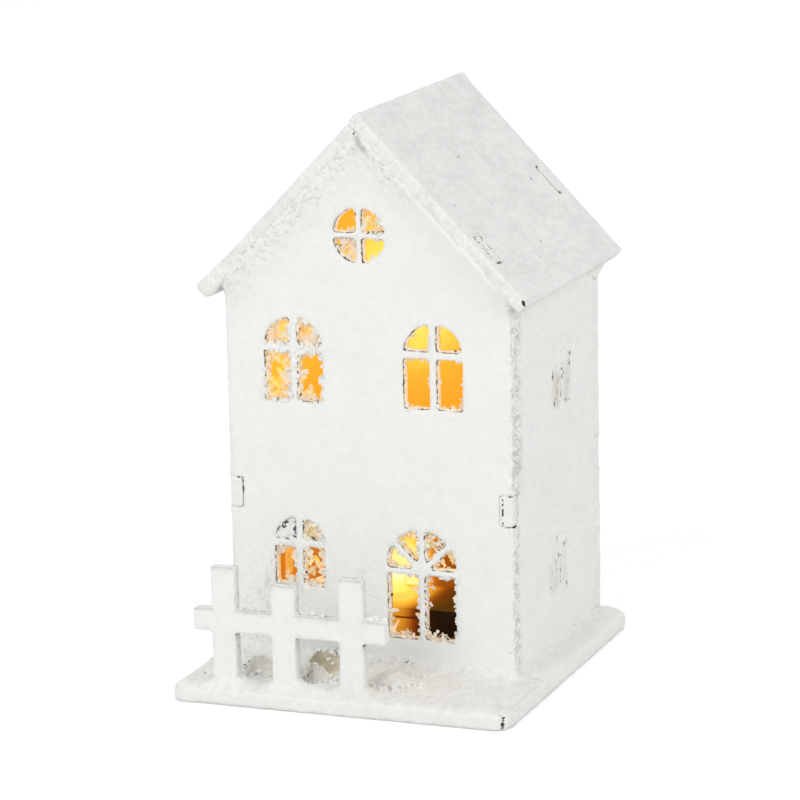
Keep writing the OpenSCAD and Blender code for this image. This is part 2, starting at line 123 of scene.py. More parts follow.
def place_camera():
    """The camera where the lantern was seen from."""
    a, e = CAMERA_AZIMUTH, CAMERA_ELEVATION
    back = Vector((math.sin(a) * math.cos(e), -math.cos(a) * math.cos(e), math.sin(e)))
    right = Vector((math.cos(a), math.sin(a), 0))
    up = back.cross(right)
    c, s = math.cos(CAMERA_ROLL), math.sin(CAMERA_ROLL)
    turn = Matrix((c * right - s * up, s * right + c * up, back))
    data = bpy.data.cameras.new("lantern_camera")
    data.sensor_width = SENSOR
    data.lens = CAMERA_LENS
    data.clip_start = 0.05
    data.clip_end = 50
    camera = link_object("lantern_camera", data)
    place = (CAMERA_AIM - turn.transposed() @ CAMERA_OFF) * MM + HOUSE
    camera.matrix_world = Matrix.Translation(place) @ turn.transposed().to_4x4()
    bpy.context.scene.camera = camera


place_camera()


# ---------------------------------------------------------------- shader helpers

def set_socket(tree, socket, value):
    """Links another node's socket to this one, or sets any other value on it."""
    if isinstance(value, bpy.types.NodeSocket):
        tree.links.new(value, socket)
    else:
        socket.default_value = value


def add(tree, kind, inputs=(), **settings):
    """One shader node with its settings and its inputs."""
    node = tree.nodes.new("ShaderNode" + kind)
    for name, value in settings.items():
        setattr(node, name, value)
    for key, value in dict(inputs).items():
        set_socket(tree, node.inputs[key], value)
    return node


def math_node(tree, operation, a, b=0.0, c=0.0, clamp=False):
    return add(tree, "Math", {0: a, 1: b, 2: c}, operation=operation, use_clamp=clamp).outputs[0]


def product(tree, *values, clamp=False):
    """All values multiplied; clamp keeps the result between 0 and 1."""
    result = values[0]
    for value in values[1:-1]:
        result = math_node(tree, "MULTIPLY", result, value)
    return math_node(tree, "MULTIPLY", result, values[-1], clamp=clamp)


def weighted(tree, value, weight, more, clamp=False):
    """A value times its weight, plus more."""
    return math_node(tree, "MULTIPLY_ADD", value, weight, more, clamp)


def gap_from(tree, value, middle):
    """How far a value lies from the middle, on either side."""
    return math_node(tree, "ABSOLUTE", math_node(tree, "SUBTRACT", value, middle))


def smooth_step(tree, value, low, high):
    """0 below low and 1 above high, or the other way round where low is the larger."""
    ends = (low, high, 0.0, 1.0) if low <= high else (high, low, 1.0, 0.0)
    return add(tree, "MapRange", dict(enumerate((value, *ends))), interpolation_type="SMOOTHSTEP").outputs[0]


def blend_colour(tree, factor, a, b, kind="MIX"):
    return add(tree, "Mix", {0: factor, 6: a, 7: b}, data_type="RGBA", blend_type=kind).outputs[2]


def noise_value(tree, place, scale, detail=3.0, rough=0.55, distort=0.0):
    node = add(tree, "TexNoise", {"Vector": place, "Scale": scale, "Detail": detail,
                                  "Roughness": rough, "Distortion": distort})
    return node.outputs[0]


def colour_ramp(tree, value, stops):
    node = add(tree, "ValToRGB", {0: value})
    ends = node.color_ramp.elements
    for element, (at, colour) in zip((ends[0], ends[1]), (stops[0], stops[-1])):
        element.position = at
        element.color = colour
    for at, colour in stops[1:-1]:
        ends.new(at).color = colour
    return node.outputs[0]


def object_place(tree):
    return add(tree, "TexCoord").outputs["Object"]


def stretched(tree, place, scale):
    return add(tree, "Mapping", {"Vector": place, "Scale": scale}).outputs[0]


def mesh_mark(tree, name):
    """A value that the mesh keeps on its points."""
    return add(tree, "Attribute", attribute_name=name).outputs["Fac"]


def new_group(name, inputs, outputs):
    """An empty shader group; inputs are (name, kind, value) and outputs (name, kind)."""
    tree = bpy.data.node_groups.new(name, "ShaderNodeTree")
    for label, kind, value in inputs:
        socket = tree.interface.new_socket(label, in_out="INPUT", socket_type="NodeSocket" + kind)
        socket.default_value = value
    for label, kind in outputs:
        tree.interface.new_socket(label, in_out="OUTPUT", socket_type="NodeSocket" + kind)
    return tree, tree.nodes.new("NodeGroupInput").outputs, tree.nodes.new("NodeGroupOutput")


def use_group(tree, group, **inputs):
    node = tree.nodes.new("ShaderNodeGroup")
    node.node_tree = group
    for label, value in inputs.items():
        set_socket(tree, node.inputs[label.replace("_", " ")], value)
    return node.outputs


def new_material(name, **sockets):
    """A Principled material; the sockets given here are the same all over the surface."""
    material = bpy.data.materials.new(name)
    material.use_nodes = True
    tree = material.node_tree
    tree.nodes.clear()
    shader = tree.nodes.new("ShaderNodeBsdfPrincipled")
    output = tree.nodes.new("ShaderNodeOutputMaterial")
    tree.links.new(shader.outputs[0], output.inputs[0])
    for label, value in sockets.items():
        shader.inputs[label.replace("_", " ")].default_value = value
    return material, tree, shader


def feed(tree, node, **values):
    """Links values to a node's inputs by their names."""
    for label, value in values.items():
        tree.links.new(value, node.inputs[label.replace("_", " ")])


def bumped(tree, height, distance, strength):
    return add(tree, "Bump", {"Height": height, "Distance": distance, "Strength": strength}).outputs[0]


# ---------------------------------------------------------------- shared effects

SNOW_LIGHT = (0.87, 0.875, 0.85, 1)
SIDE_LIGHT = (0.86, 0.865, 0.84, 1)
SNOW_SHADE = (0.66, 0.665, 0.64, 1)
ROOF_SHADE = (0.62, 0.625, 0.605, 1)
HEAP_SHADE = (0.56, 0.55, 0.5, 1)
PALE_STROKE = (0.95, 0.95, 0.94, 1)
GREY_CRUMB = (0.45, 0.45, 0.43, 1)
GREY_SPECK = (0.36, 0.355, 0.34, 1)
# Near-black of the broken dark lines: partly painted shade of gaps and corners, partly raw board showing
# through the coat
SHADE_AND_MARK_BLACK = (0.035, 0.032, 0.028, 1)
EARTH = (0.43, 0.365, 0.22, 1)
RAW_BOARD = (0.22, 0.125, 0.06, 1)
REVEAL_LAMP_GLOW = (0.2, 0.17, 0.1, 1)
BLACK = (0, 0, 0, 1)

# Lamp light inside the house: colours of the glow from dim to bright, and where it falls
GLOW = [
    (0.0, (0.035, 0.006, 0.001, 1)),
    (0.2, (0.22, 0.05, 0.003, 1)),
    (0.35, (0.5, 0.14, 0.008, 1)),
    (0.48, (0.9, 0.34, 0.022, 1)),
    (0.68, (0.95, 0.45, 0.035, 1)),
    (0.88, (0.96, 0.74, 0.11, 1)),
    (1.0, (1.0, 0.9, 0.3, 1)),
]
CASE_LID = 12.3
STREAK_X = -21.0
POOL_X, POOL_Z = -19.0, 103.0

FINISH_OUT = [("Color", "Color"), ("Height", "Float"), ("Roughness", "Float")]


def grain_place(tree, depth):
    """Coordinates for grit, dark marks and painted shade, drawn out along the depth of the house."""
    return stretched(tree, object_place(tree), (1.0, depth, 1.0))


def house_place(tree):
    """The place in millimetres from the middle of the house, and its three separate values."""
    moved = add(tree, "VectorMath", {0: object_place(tree), 1: HOUSE}, operation="SUBTRACT").outputs[0]
    place = add(tree, "VectorMath", {0: moved, 3: 1 / MM}, operation="SCALE").outputs[0]
    return (place, *add(tree, "SeparateXYZ", {0: place}).outputs[:3])


def under_roof(tree, side, z):
    """How far straight down a place lies under the roof's upper faces."""
    return math_node(tree, "SUBTRACT", weighted(tree, side, -math.tan(PITCH), RIDGE), z)


def snow_grit_group():
    """Fine sprayed grit: pale mottle, small grains, and a rough height."""
    tree, given, out = new_group(
        "snow_grit",
        [("Light", "Color", SNOW_LIGHT), ("Shade", "Color", SNOW_SHADE), ("Mottle", "Float", 0.3),
         ("Grain", "Float", 1.0), ("Flecks", "Float", 0.2), ("Crumbs", "Float", 0.1)], FINISH_OUT)
    place = grain_place(tree, 0.5)
    cloud = noise_value(tree, place, 95.0, 4.0, 0.6)
    patch = noise_value(tree, place, 360.0, 4.0, 0.6, 0.6)
    fine = noise_value(tree, place, 1100.0, 3.0, 0.6)
    grain = add(tree, "TexVoronoi", {"Vector": place, "Scale": 1100.0}, feature="F1").outputs[0]
    mottle = product(tree, smooth_step(tree, cloud, 0.38, 0.7), 0.4)
    mottle = weighted(tree, smooth_step(tree, patch, 0.62, 0.36), 0.42, mottle)
    mottle = weighted(tree, smooth_step(tree, fine, 0.5, 0.75), 0.18, mottle)
    mottle = product(tree, mottle, given["Mottle"], clamp=True)
    colour = blend_colour(tree, mottle, given["Light"], given["Shade"])
    stroke = noise_value(tree, place, 330.0, 2.0, 0.5, 1.5)
    stroke = smooth_step(tree, gap_from(tree, stroke, 0.5), 0.035, 0.012)
    stroke = product(tree, stroke, smooth_step(tree, cloud, 0.46, 0.58), given["Flecks"])
    colour = blend_colour(tree, stroke, colour, PALE_STROKE)
    crumb = smooth_step(tree, noise_value(tree, place, 560.0, 3.0, 0.6, 0.5), 0.64, 0.74)
    colour = blend_colour(tree, product(tree, crumb, given["Crumbs"]), colour, GREY_CRUMB)
    height = weighted(tree, grain, -0.35, weighted(tree, patch, 0.7, product(tree, fine, 0.5)))
    feed(tree, out, Color=colour, Height=product(tree, height, given["Grain"]),
         Roughness=weighted(tree, fine, 0.2, 0.72))
    return tree


def outline_gap(tree, u, v, middle, half):
    """Distance from the outline of a rectangle."""
    gaps = [math_node(tree, "SUBTRACT", gap_from(tree, value, centre), reach)
            for value, centre, reach in zip((u, v), middle, half)]
    return math_node(tree, "ABSOLUTE", math_node(tree, "MAXIMUM", *gaps))


def tab_outline(tree, x, y, z, broken):
    """Broken dark outlines of the side walls' tabs in the gable walls, painted shade of the joint's gap that
    the coat closes; the left one's lower half is hidden.
    """
    side = math_node(tree, "ABSOLUTE", x)
    across = weighted(tree, math_node(tree, "SIGN", x), -0.6, side)
    gap = outline_gap(tree, across, z, (INNER_X + SLOT_GAP + TAB_REACH, TAB_Z),
                      (TAB_REACH, TAB_H / 2 + SLOT_GAP / 2))
    upper_left = product(tree, smooth_step(tree, z, TAB_Z - 0.4, TAB_Z + 0.6),
                         smooth_step(tree, x, 0.8 - HALF_W, 1.6 - HALF_W))
    open_part = math_node(tree, "MAXIMUM", upper_left, smooth_step(tree, x, -1.0, 1.0))
    back_face = product(tree, smooth_step(tree, y, HALF_D - 0.7, HALF_D - 0.4),
                        smooth_step(tree, side, HALF_W - 0.4, HALF_W - 0.9))
    faces = math_node(tree, "MAXIMUM", smooth_step(tree, y, -INNER_Y, -INNER_Y - 0.4), back_face)
    return product(tree, smooth_step(tree, gap, 0.34, 0.16), smooth_step(tree, broken, 0.46, 0.52), open_part,
                   faces)


def slot_outline(tree, x, y, z, broken):
    """Broken dark outlines of the gable walls' tabs in the roof, painted shade of the slot's gap that the coat
    closes: faint in front, firm at the back.
    """
    down = product(tree, math_node(tree, "SUBTRACT", RIDGE, z), 1 / math.sin(PITCH))
    front = outline_gap(tree, down, y, (FRONT_TAB_S, -TAB_Y), ROOF_TAB_HALF)
    front = product(tree, smooth_step(tree, front, 0.5, 0.25), smooth_step(tree, broken, 0.53, 0.58))
    back = outline_gap(tree, down, y, (BACK_TAB_S, TAB_Y), ROOF_TAB_HALF)
    back = product(tree, smooth_step(tree, back, 0.6, 0.28), smooth_step(tree, broken, 0.3, 0.38),
                   smooth_step(tree, y, INNER_Y + 2.0, INNER_Y + 0.6))
    upper_face = smooth_step(tree, under_roof(tree, math_node(tree, "ABSOLUTE", x), z), 2.2, 1.4)
    return product(tree, math_node(tree, "MAXIMUM", front, back), upper_face)


def joint_shade_and_marks_group():
    """Dark broken lines in the joints, partly painted shade of their gaps and corners and partly raw board
    showing; grey loops and specks on the worn edges, and painted grey shade on marked lines.
    """
    tree, given, out = new_group(
        "joint_shade_and_marks",
        [("Joints", "Float", 1.0), ("Edges", "Float", 0.5), ("Tabs", "Float", 0.0), ("Slots", "Float", 0.0),
         ("Loops", "Float", 0.0)],
        [("Line", "Float"), ("Speck", "Float")])
    place = grain_place(tree, 0.7)
    broken = noise_value(tree, place, 620.0, 4.0, 0.65, 0.4)
    fleck = noise_value(tree, place, 900.0, 4.0, 0.7, 0.8)
    wave = noise_value(tree, place, 150.0, 2.0, 0.5, 1.0)
    x, y, z = house_place(tree)[1:]
    seam = weighted(tree, broken, 1.1, product(tree, mesh_mark(tree, "joint"), given["Joints"]))
    line = smooth_step(tree, seam, 1.16, 1.34)
    tab = product(tree, tab_outline(tree, x, y, z, broken), given["Tabs"])
    slot = product(tree, slot_outline(tree, x, y, z, broken), given["Slots"])
    line = math_node(tree, "MAXIMUM", math_node(tree, "MAXIMUM", line, tab), slot)
    worn = weighted(tree, fleck, 0.6, product(tree, broken, 0.6))
    loop = product(tree, smooth_step(tree, gap_from(tree, wave, 0.5), 0.05, 0.012), given["Loops"],
                   smooth_step(tree, math_node(tree, "ABSOLUTE", x), HALF_W - 2.5, HALF_W - 1.5))
    speck = math_node(tree, "MAXIMUM", smooth_step(tree, worn, 0.57, 0.78), loop)
    speck = product(tree, speck, mesh_mark(tree, "edge"), given["Edges"], clamp=True)
    # Painted grey shade on the marked lines, broken up a little: the pickets' shaded sides and edges, and
    # under the apex
    grey_shade = product(tree, mesh_mark(tree, "grey_shade"), weighted(tree, broken, 2.0, -0.1), clamp=True)
    feed(tree, out, Line=line, Speck=math_node(tree, "MAXIMUM", speck, grey_shade))
    return tree


def case_shine(tree, x, y, z, away):
    """Lamp light on the case: bright by the lamp and on the left, dim on the lid's front and in its groove."""
    flank = smooth_step(tree, x, 7.0, -3.0)
    lid = smooth_step(tree, z, CASE_LID, CASE_LID + 0.5)
    lid_front = product(tree, smooth_step(tree, y, 16.0, 0.0), lid)
    groove = smooth_step(tree, gap_from(tree, z, CASE_LID), 0.5, 0.15)
    shine = weighted(tree, smooth_step(tree, away, 26.0, 2.0), 0.6, product(tree, flank, 0.48))
    shine = weighted(tree, lid_front, -0.15, weighted(tree, lid, 0.08, shine))
    return product(tree, shine, weighted(tree, groove, -0.55, 1.0), clamp=True)


def wall_light(tree, x, z):
    """Lamp light on the walls: a streak low down, a pool high up, and a dimmer foot of the left wall."""
    low_down = product(tree, weighted(tree, smooth_step(tree, z, 45.0, 12.0), 0.5, 1.0),
                       smooth_step(tree, z, 29.0, 15.0))
    streak = product(tree, smooth_step(tree, gap_from(tree, x, STREAK_X), 13.0, 1.0), 0.36, low_down)
    squares = [math_node(tree, "POWER", math_node(tree, "SUBTRACT", value, middle), 2.0)
               for value, middle in ((x, POOL_X), (z, POOL_Z))]
    pool = smooth_step(tree, math_node(tree, "SQRT", math_node(tree, "ADD", *squares)), 38.0, 12.0)
    left_foot = product(tree, smooth_step(tree, x, -36.0, -40.0), smooth_step(tree, z, 60.0, 22.0))
    return weighted(tree, left_foot, -0.36, weighted(tree, pool, 0.4, streak))


def lamp_glow_group():
    """How the lamp lights the inside: a mask of the inside faces, their glow, a faint painted glow on the pane
    reveals, and the shine on the case.
    """
    tree, given, out = new_group(
        "lamp_glow", [("Level", "Float", 0.52)], [("Inside", "Float"), ("Glow", "Color"), ("Shine", "Float")])
    place, x, y, z = house_place(tree)
    side, depth = (math_node(tree, "ABSOLUTE", value) for value in (x, y))
    under = product(tree, under_roof(tree, side, z), math.cos(PITCH))
    inside = product(tree, smooth_step(tree, side, INNER_X + 0.9, INNER_X + 0.6),
                     smooth_step(tree, depth, INNER_Y + 0.9, INNER_Y + 0.6),
                     smooth_step(tree, z, PLATE_TOP - 0.5, PLATE_TOP - 0.3),
                     smooth_step(tree, under, ROOF_T - 0.9, ROOF_T - 0.6))
    away = add(tree, "VectorMath", {0: place, 1: (LAMP - HOUSE) / MM}, operation="DISTANCE").outputs["Value"]
    dark = product(tree, smooth_step(tree, z, 42.0, 20.0), smooth_step(tree, x, -17.0, -6.0), 0.42)
    bright = product(tree, smooth_step(tree, away, 62.0, 8.0), smooth_step(tree, x, 6.0, -12.0))
    fibre = weighted(tree, noise_value(tree, place, 0.5, 4.0, 0.6), 0.12, -0.06)
    level = math_node(tree, "ADD", given["Level"], wall_light(tree, x, z))
    level = weighted(tree, bright, 0.4, math_node(tree, "SUBTRACT", level, dark))
    glow = colour_ramp(tree, math_node(tree, "ADD", level, fibre, clamp=True), GLOW)
    # Painted lamp light on the pane reveals: a faint warm glow spilling out from the inside
    reveal = product(tree, smooth_step(tree, depth, INNER_Y + 0.6, INNER_Y + 0.9),
                     smooth_step(tree, depth, HALF_D - 0.3, HALF_D - 1.4),
                     smooth_step(tree, side, INNER_X - 2.0, INNER_X - 4.0),
                     smooth_step(tree, under, 8.0, 10.0),
                     smooth_step(tree, z, PLATE_TOP + 2.0, PLATE_TOP + 4.0))
    spill = blend_colour(tree, reveal, BLACK, REVEAL_LAMP_GLOW)
    feed(tree, out, Inside=inside, Glow=blend_colour(tree, inside, spill, glow),
         Shine=case_shine(tree, x, y, z, away))
    return tree


def mould_grain_group():
    """Fine matt grain of moulded plastic, with a little handling shine."""
    tree, given, out = new_group(
        "mould_grain", [("Tone", "Color", (0.02, 0.02, 0.02, 1)), ("Rub", "Color", (0.05, 0.05, 0.05, 1))],
        FINISH_OUT)
    place = object_place(tree)
    fine = noise_value(tree, place, 2600.0, 2.0, 0.5)
    broad = noise_value(tree, place, 160.0, 4.0, 0.6)
    rub = product(tree, smooth_step(tree, broad, 0.45, 0.75), 0.6)
    feed(tree, out, Color=blend_colour(tree, rub, given["Tone"], given["Rub"]), Height=fine,
         Roughness=weighted(tree, broad, -0.25, 0.62))
    return tree


def drawn_metal_group():
    """Drawn and plated metal: fine streaks and dull patches."""
    tree, given, out = new_group(
        "drawn_metal", [("Bright", "Color", (0.7, 0.69, 0.66, 1)), ("Dull", "Color", (0.42, 0.41, 0.39, 1))],
        FINISH_OUT)
    place = object_place(tree)
    streak = noise_value(tree, stretched(tree, place, (1.0, 0.08, 1.0)), 2400.0, 3.0, 0.6)
    patch = noise_value(tree, place, 520.0, 3.0, 0.6)
    dull = smooth_step(tree, weighted(tree, streak, 0.5, product(tree, patch, 0.5)), 0.42, 0.66)
    feed(tree, out, Color=blend_colour(tree, dull, given["Bright"], given["Dull"]), Height=streak,
         Roughness=weighted(tree, dull, 0.22, 0.22))
    return tree


SNOW_GRIT = snow_grit_group()
JOINT_SHADE_AND_MARKS = joint_shade_and_marks_group()
LAMP_GLOW = lamp_glow_group()
MOULD_GRAIN = mould_grain_group()
DRAWN_METAL = drawn_metal_group()


# ---------------------------------------------------------------- materials

# Bump heights in metres
COAT_BUMP = 0.0004
FLAKE_BUMP = 0.0002
MOULD_BUMP = 0.00006
METAL_BUMP = 0.00003
TRACK_BUMP = 0.00005

# Flakes: dark crumbs, the two hues that they take in the lamp light, and their glow
DARK_FLAKE = (0.14, 0.13, 0.085, 1)
DARK_CRUMB = (0.075, 0.075, 0.06, 1)
LIT_ORANGE = (0.5, 0.29, 0.15, 1)
LIT_YELLOW = (0.5, 0.36, 0.1, 1)
YELLOW_CAST = (0.75, 0.95, 0.6, 1)
FLAKE_GLOW = [
    (0.0, BLACK),
    (0.35, (0.2, 0.11, 0.035, 1)),
    (0.7, (0.55, 0.28, 0.07, 1)),
    (1.0, (0.85, 0.42, 0.06, 1)),
]

CASE_SHINE = [
    (0.0, BLACK),
    (0.22, (0.1, 0.016, 0.001, 1)),
    (0.35, (0.26, 0.045, 0.002, 1)),
    (0.5, (0.5, 0.15, 0.008, 1)),
    (0.8, (0.92, 0.42, 0.03, 1)),
    (1.0, (0.96, 0.76, 0.12, 1)),
]

# Cell: bare ends, and a band at the plus end
CELL_END = 0.0022
CELL_BAND = 0.0125
BAND_COPPER = (0.42, 0.29, 0.12, 1)
TRACK_GREEN = (0.05, 0.17, 0.07, 1)

LENS_GLOW = [
    (0.0, (0.98, 0.72, 0.14, 1)),
    (0.4, (1.0, 0.9, 0.32, 1)),
    (0.75, (1.0, 0.98, 0.55, 1)),
    (1.0, (1.0, 0.93, 0.4, 1)),
]
LENS_EDGE = (0.96, 0.66, 0.08, 1)
RESIN_FOOT = (0.5, 0.36, 0.12, 1)
RESIN_DOME = (0.62, 0.5, 0.22, 1)


def marked_and_shaded(tree, colour, marks_and_shade):
    """A coat's colour under its grey specks and painted grey shade, and under its dark lines, which are partly
    painted shade of gaps and corners.
    """
    return blend_colour(tree, marks_and_shade["Line"], blend_colour(tree, marks_and_shade["Speck"], colour, GREY_SPECK), SHADE_AND_MARK_BLACK)


def with_earth(tree, colour):
    """A coat's colour with earth showing where the mesh is marked for it."""
    return blend_colour(tree, mesh_mark(tree, "tint"), colour, EARTH)


def coat_material(name, mottle, edges, level, bump, light=SNOW_LIGHT, shade=SNOW_SHADE, joints=1.0,
                  crumbs=0.1, tabs=0.0, slots=0.0, loops=0.0, tinted=False):
    """Snow-grit coat on a board: white outside, raw and lit by the lamp inside."""
    material, tree, shader = new_material(name, Emission_Strength=1.0, Specular_IOR_Level=0.3)
    snow = use_group(tree, SNOW_GRIT, Light=light, Shade=shade, Mottle=mottle, Crumbs=crumbs)
    marks_and_shade = use_group(tree, JOINT_SHADE_AND_MARKS, Joints=joints, Edges=edges, Tabs=tabs, Slots=slots, Loops=loops)
    lamp = use_group(tree, LAMP_GLOW, Level=level)
    colour = marked_and_shaded(tree, with_earth(tree, snow["Color"]) if tinted else snow["Color"], marks_and_shade)
    colour = blend_colour(tree, lamp["Inside"], colour, RAW_BOARD)
    feed(tree, shader, Base_Color=colour, Roughness=snow["Roughness"], Emission_Color=lamp["Glow"],
         Normal=bumped(tree, snow["Height"], COAT_BUMP, bump))
    return material


def flake_material():
    """Loose snow flakes: white crystals with the lamp's warm light from behind painted into their colour and
    glow.
    """
    material, tree, shader = new_material("snow_flakes", Emission_Strength=1.0, Specular_IOR_Level=0.4)
    snow = use_group(tree, SNOW_GRIT, Light=SNOW_LIGHT, Shade=SNOW_SHADE, Mottle=0.5)
    marks_and_shade = use_group(tree, JOINT_SHADE_AND_MARKS, Joints=1.0, Edges=0.8)
    place = object_place(tree)
    warmth = mesh_mark(tree, "warm")
    vary = weighted(tree, noise_value(tree, place, 480.0, 3.0, 0.6), 1.4, 0.25)
    warm = product(tree, warmth, vary, clamp=True)
    colour = marked_and_shaded(tree, with_earth(tree, snow["Color"]), marks_and_shade)
    colour = blend_colour(tree, smooth_step(tree, warmth, -0.1, -0.5), colour, DARK_FLAKE)
    crumb = weighted(tree, noise_value(tree, place, 900.0, 3.0, 0.6), 1.4, mesh_mark(tree, "crumb"))
    colour = blend_colour(tree, smooth_step(tree, crumb, 1.15, 1.5), colour, DARK_CRUMB)
    hue = smooth_step(tree, noise_value(tree, place, 260.0, 2.0, 0.5), 0.42, 0.6)
    colour = blend_colour(tree, warm, colour, blend_colour(tree, hue, LIT_ORANGE, LIT_YELLOW))
    glow = blend_colour(tree, hue, colour_ramp(tree, warm, FLAKE_GLOW), YELLOW_CAST, "MULTIPLY")
    feed(tree, shader, Base_Color=colour, Roughness=snow["Roughness"], Emission_Color=glow,
         Normal=bumped(tree, snow["Height"], FLAKE_BUMP, 0.5))
    return material


def plastic_material(name, tone, rub, lit=False):
    """Moulded plastic or insulation; the case under the lamp also takes its light."""
    material, tree, shader = new_material(name, Emission_Strength=1.0 if lit else 0.0, Specular_IOR_Level=0.4)
    mould = use_group(tree, MOULD_GRAIN, Tone=tone, Rub=rub)
    feed(tree, shader, Base_Color=mould["Color"], Roughness=mould["Roughness"],
         Normal=bumped(tree, mould["Height"], MOULD_BUMP, 0.5))
    if lit:
        lamp = use_group(tree, LAMP_GLOW)
        shine = colour_ramp(tree, lamp["Shine"], CASE_SHINE)
        feed(tree, shader, Emission_Color=blend_colour(tree, lamp["Inside"], BLACK, shine))
    return material


def metal_material(name, bright, dull):
    material, tree, shader = new_material(name, Metallic=1.0)
    metal = use_group(tree, DRAWN_METAL, Bright=bright, Dull=dull)
    feed(tree, shader, Base_Color=metal["Color"], Roughness=metal["Roughness"],
         Normal=bumped(tree, metal["Height"], METAL_BUMP, 0.4))
    return material


def cell_material():
    """Plain wrapped cell: a jacket without print, with a band, and bare metal ends."""
    material, tree, shader = new_material("cell_jacket", Specular_IOR_Level=0.5)
    low, high = (corner.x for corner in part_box("left_cell"))
    along = add(tree, "SeparateXYZ", {0: object_place(tree)}).outputs[0]
    wrap = product(tree, smooth_step(tree, along, low + CELL_END - 0.0001, low + CELL_END + 0.0001),
                   smooth_step(tree, along, high - CELL_END + 0.0001, high - CELL_END - 0.0001))
    band = smooth_step(tree, along, high - CELL_BAND, high - CELL_BAND + 0.0003)
    mould = use_group(tree, MOULD_GRAIN, Tone=(0.05, 0.06, 0.075, 1), Rub=(0.1, 0.11, 0.13, 1))
    metal = use_group(tree, DRAWN_METAL)
    jacket = blend_colour(tree, band, mould["Color"], BAND_COPPER)
    feed(tree, shader, Base_Color=blend_colour(tree, wrap, metal["Color"], jacket),
         Roughness=product(tree, mould["Roughness"], 0.6), Metallic=math_node(tree, "SUBTRACT", 1.0, wrap),
         Normal=bumped(tree, metal["Height"], METAL_BUMP, 0.3))
    return material


def board_material():
    """Green lacquered circuit board with copper tracks under the lacquer."""
    material, tree, shader = new_material("board_green", Specular_IOR_Level=0.5)
    waves = {"Vector": object_place(tree), "Scale": 260.0, "Distortion": 1.5, "Detail": 1.0}
    track = add(tree, "TexWave", waves, bands_direction="X").outputs["Fac"]
    track = smooth_step(tree, track, 0.55, 0.62)
    mould = use_group(tree, MOULD_GRAIN, Tone=(0.012, 0.085, 0.035, 1), Rub=(0.03, 0.13, 0.06, 1))
    feed(tree, shader, Base_Color=blend_colour(tree, track, mould["Color"], TRACK_GREEN),
         Roughness=product(tree, mould["Roughness"], 0.6), Normal=bumped(tree, track, TRACK_BUMP, 0.5))
    return material


def lens_material():
    """Clear warm lamp resin, bright where the chip sits and paler at the dome."""
    material, tree, shader = new_material("lamp_resin", Emission_Strength=1.0, Specular_IOR_Level=0.5)
    low, high = (corner.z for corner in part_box("lamp_lens"))
    place = object_place(tree)
    swirl = noise_value(tree, place, 700.0, 3.0, 0.5)
    share = smooth_step(tree, add(tree, "SeparateXYZ", {0: place}).outputs[2], low, high)
    share = math_node(tree, "ADD", share, weighted(tree, swirl, 0.2, -0.1), clamp=True)
    edge = smooth_step(tree, add(tree, "LayerWeight", {"Blend": 0.5}).outputs["Facing"], 0.25, 0.85)
    glow = blend_colour(tree, edge, colour_ramp(tree, share, LENS_GLOW), LENS_EDGE)
    feed(tree, shader, Base_Color=blend_colour(tree, share, RESIN_FOOT, RESIN_DOME),
         Roughness=weighted(tree, swirl, 0.2, 0.1), Emission_Color=glow)
    return material


COAT_FRONT = coat_material("coat_front", mottle=0.24, edges=0.8, level=0.52, bump=0.34, tabs=1.0, slots=1.0,
                           loops=0.65)
COAT_SIDE = coat_material("coat_side", mottle=0.32, edges=0.8, level=0.5, bump=0.28, light=SIDE_LIGHT,
                          tabs=1.0, slots=1.0, loops=0.65)
COAT_ROOF = coat_material("coat_roof", mottle=0.6, edges=0.25, level=0.5, bump=0.5, light=SIDE_LIGHT,
                          shade=ROOF_SHADE, crumbs=0.22, slots=1.0)
COAT_PLATE = coat_material("coat_plate", mottle=0.35, edges=0.12, level=0.2, bump=0.45, joints=0.95)
COAT_FENCE = coat_material("coat_fence", mottle=0.25, edges=0.9, level=0.2, bump=0.4, joints=0.9)
CORNER_SNOW = coat_material("corner_snow", mottle=0.35, edges=0.7, level=0.5, bump=0.5)
HEAP_SNOW = coat_material("heap_snow", mottle=0.4, edges=0.5, level=0.2, bump=0.9, shade=HEAP_SHADE,
                          joints=0.9, crumbs=0.3, tinted=True)
FLAKES = flake_material()


# ---------------------------------------------------------------- grit in the geometry

# Steps of hold by which a coat's mesh is thinned out
HOLD_STEPS = 5


def lattice(ix, iy, iz, seed):
    """Repeatable random values on a whole-number grid."""
    h = (ix * 73856093) ^ (iy * 19349663) ^ (iz * 83492791) ^ (seed * 2654435761)
    h = (h ^ (h >> 13)) & 0xFFFFFFFF
    h = (h * 1274126177) & 0xFFFFFFFF
    return ((h ^ (h >> 16)) & 0xFFFF) / 65535.0


def lumps(points, size, seed):
    """Smooth random lumps of the given size, from -1 to 1."""
    p = points / size
    i = np.floor(p).astype(np.int64)
    f = p - i
    f = f * f * (3 - 2 * f)
    total = np.zeros(len(points))
    for corner in itertools.product((0, 1), repeat=3):
        wx, wy, wz = (np.where(step, f[:, k], 1 - f[:, k]) for k, step in enumerate(corner))
        total += wx * wy * wz * lattice(*(i[:, k] + step for k, step in enumerate(corner)), seed)
    return total * 2 - 1


def seam_marks(points, seams):
    """1 on a seam line, falling off over its width; seams are (start, end, strength, width)."""
    mark = np.zeros(len(points))
    for start, end, strength, width in seams:
        a, b = np.array(start, float), np.array(end, float)
        along = b - a
        t = np.clip(((points - a) @ along) / max(along @ along, 1e-9), 0, 1)
        gap = np.linalg.norm(points - a - t[:, None] * along, axis=1)
        mark = np.maximum(mark, strength * np.exp(-((gap / width) ** 2)))
    return mark


def read_vectors(rows, name):
    values = np.empty(len(rows) * 3, np.float32)
    rows.foreach_get(name, values)
    return values.reshape(-1, 3).astype(float)


def mesh_points(mesh):
    return read_vectors(mesh.vertices, "co")


def mesh_normals(mesh):
    return read_vectors(mesh.vertex_normals, "vector")


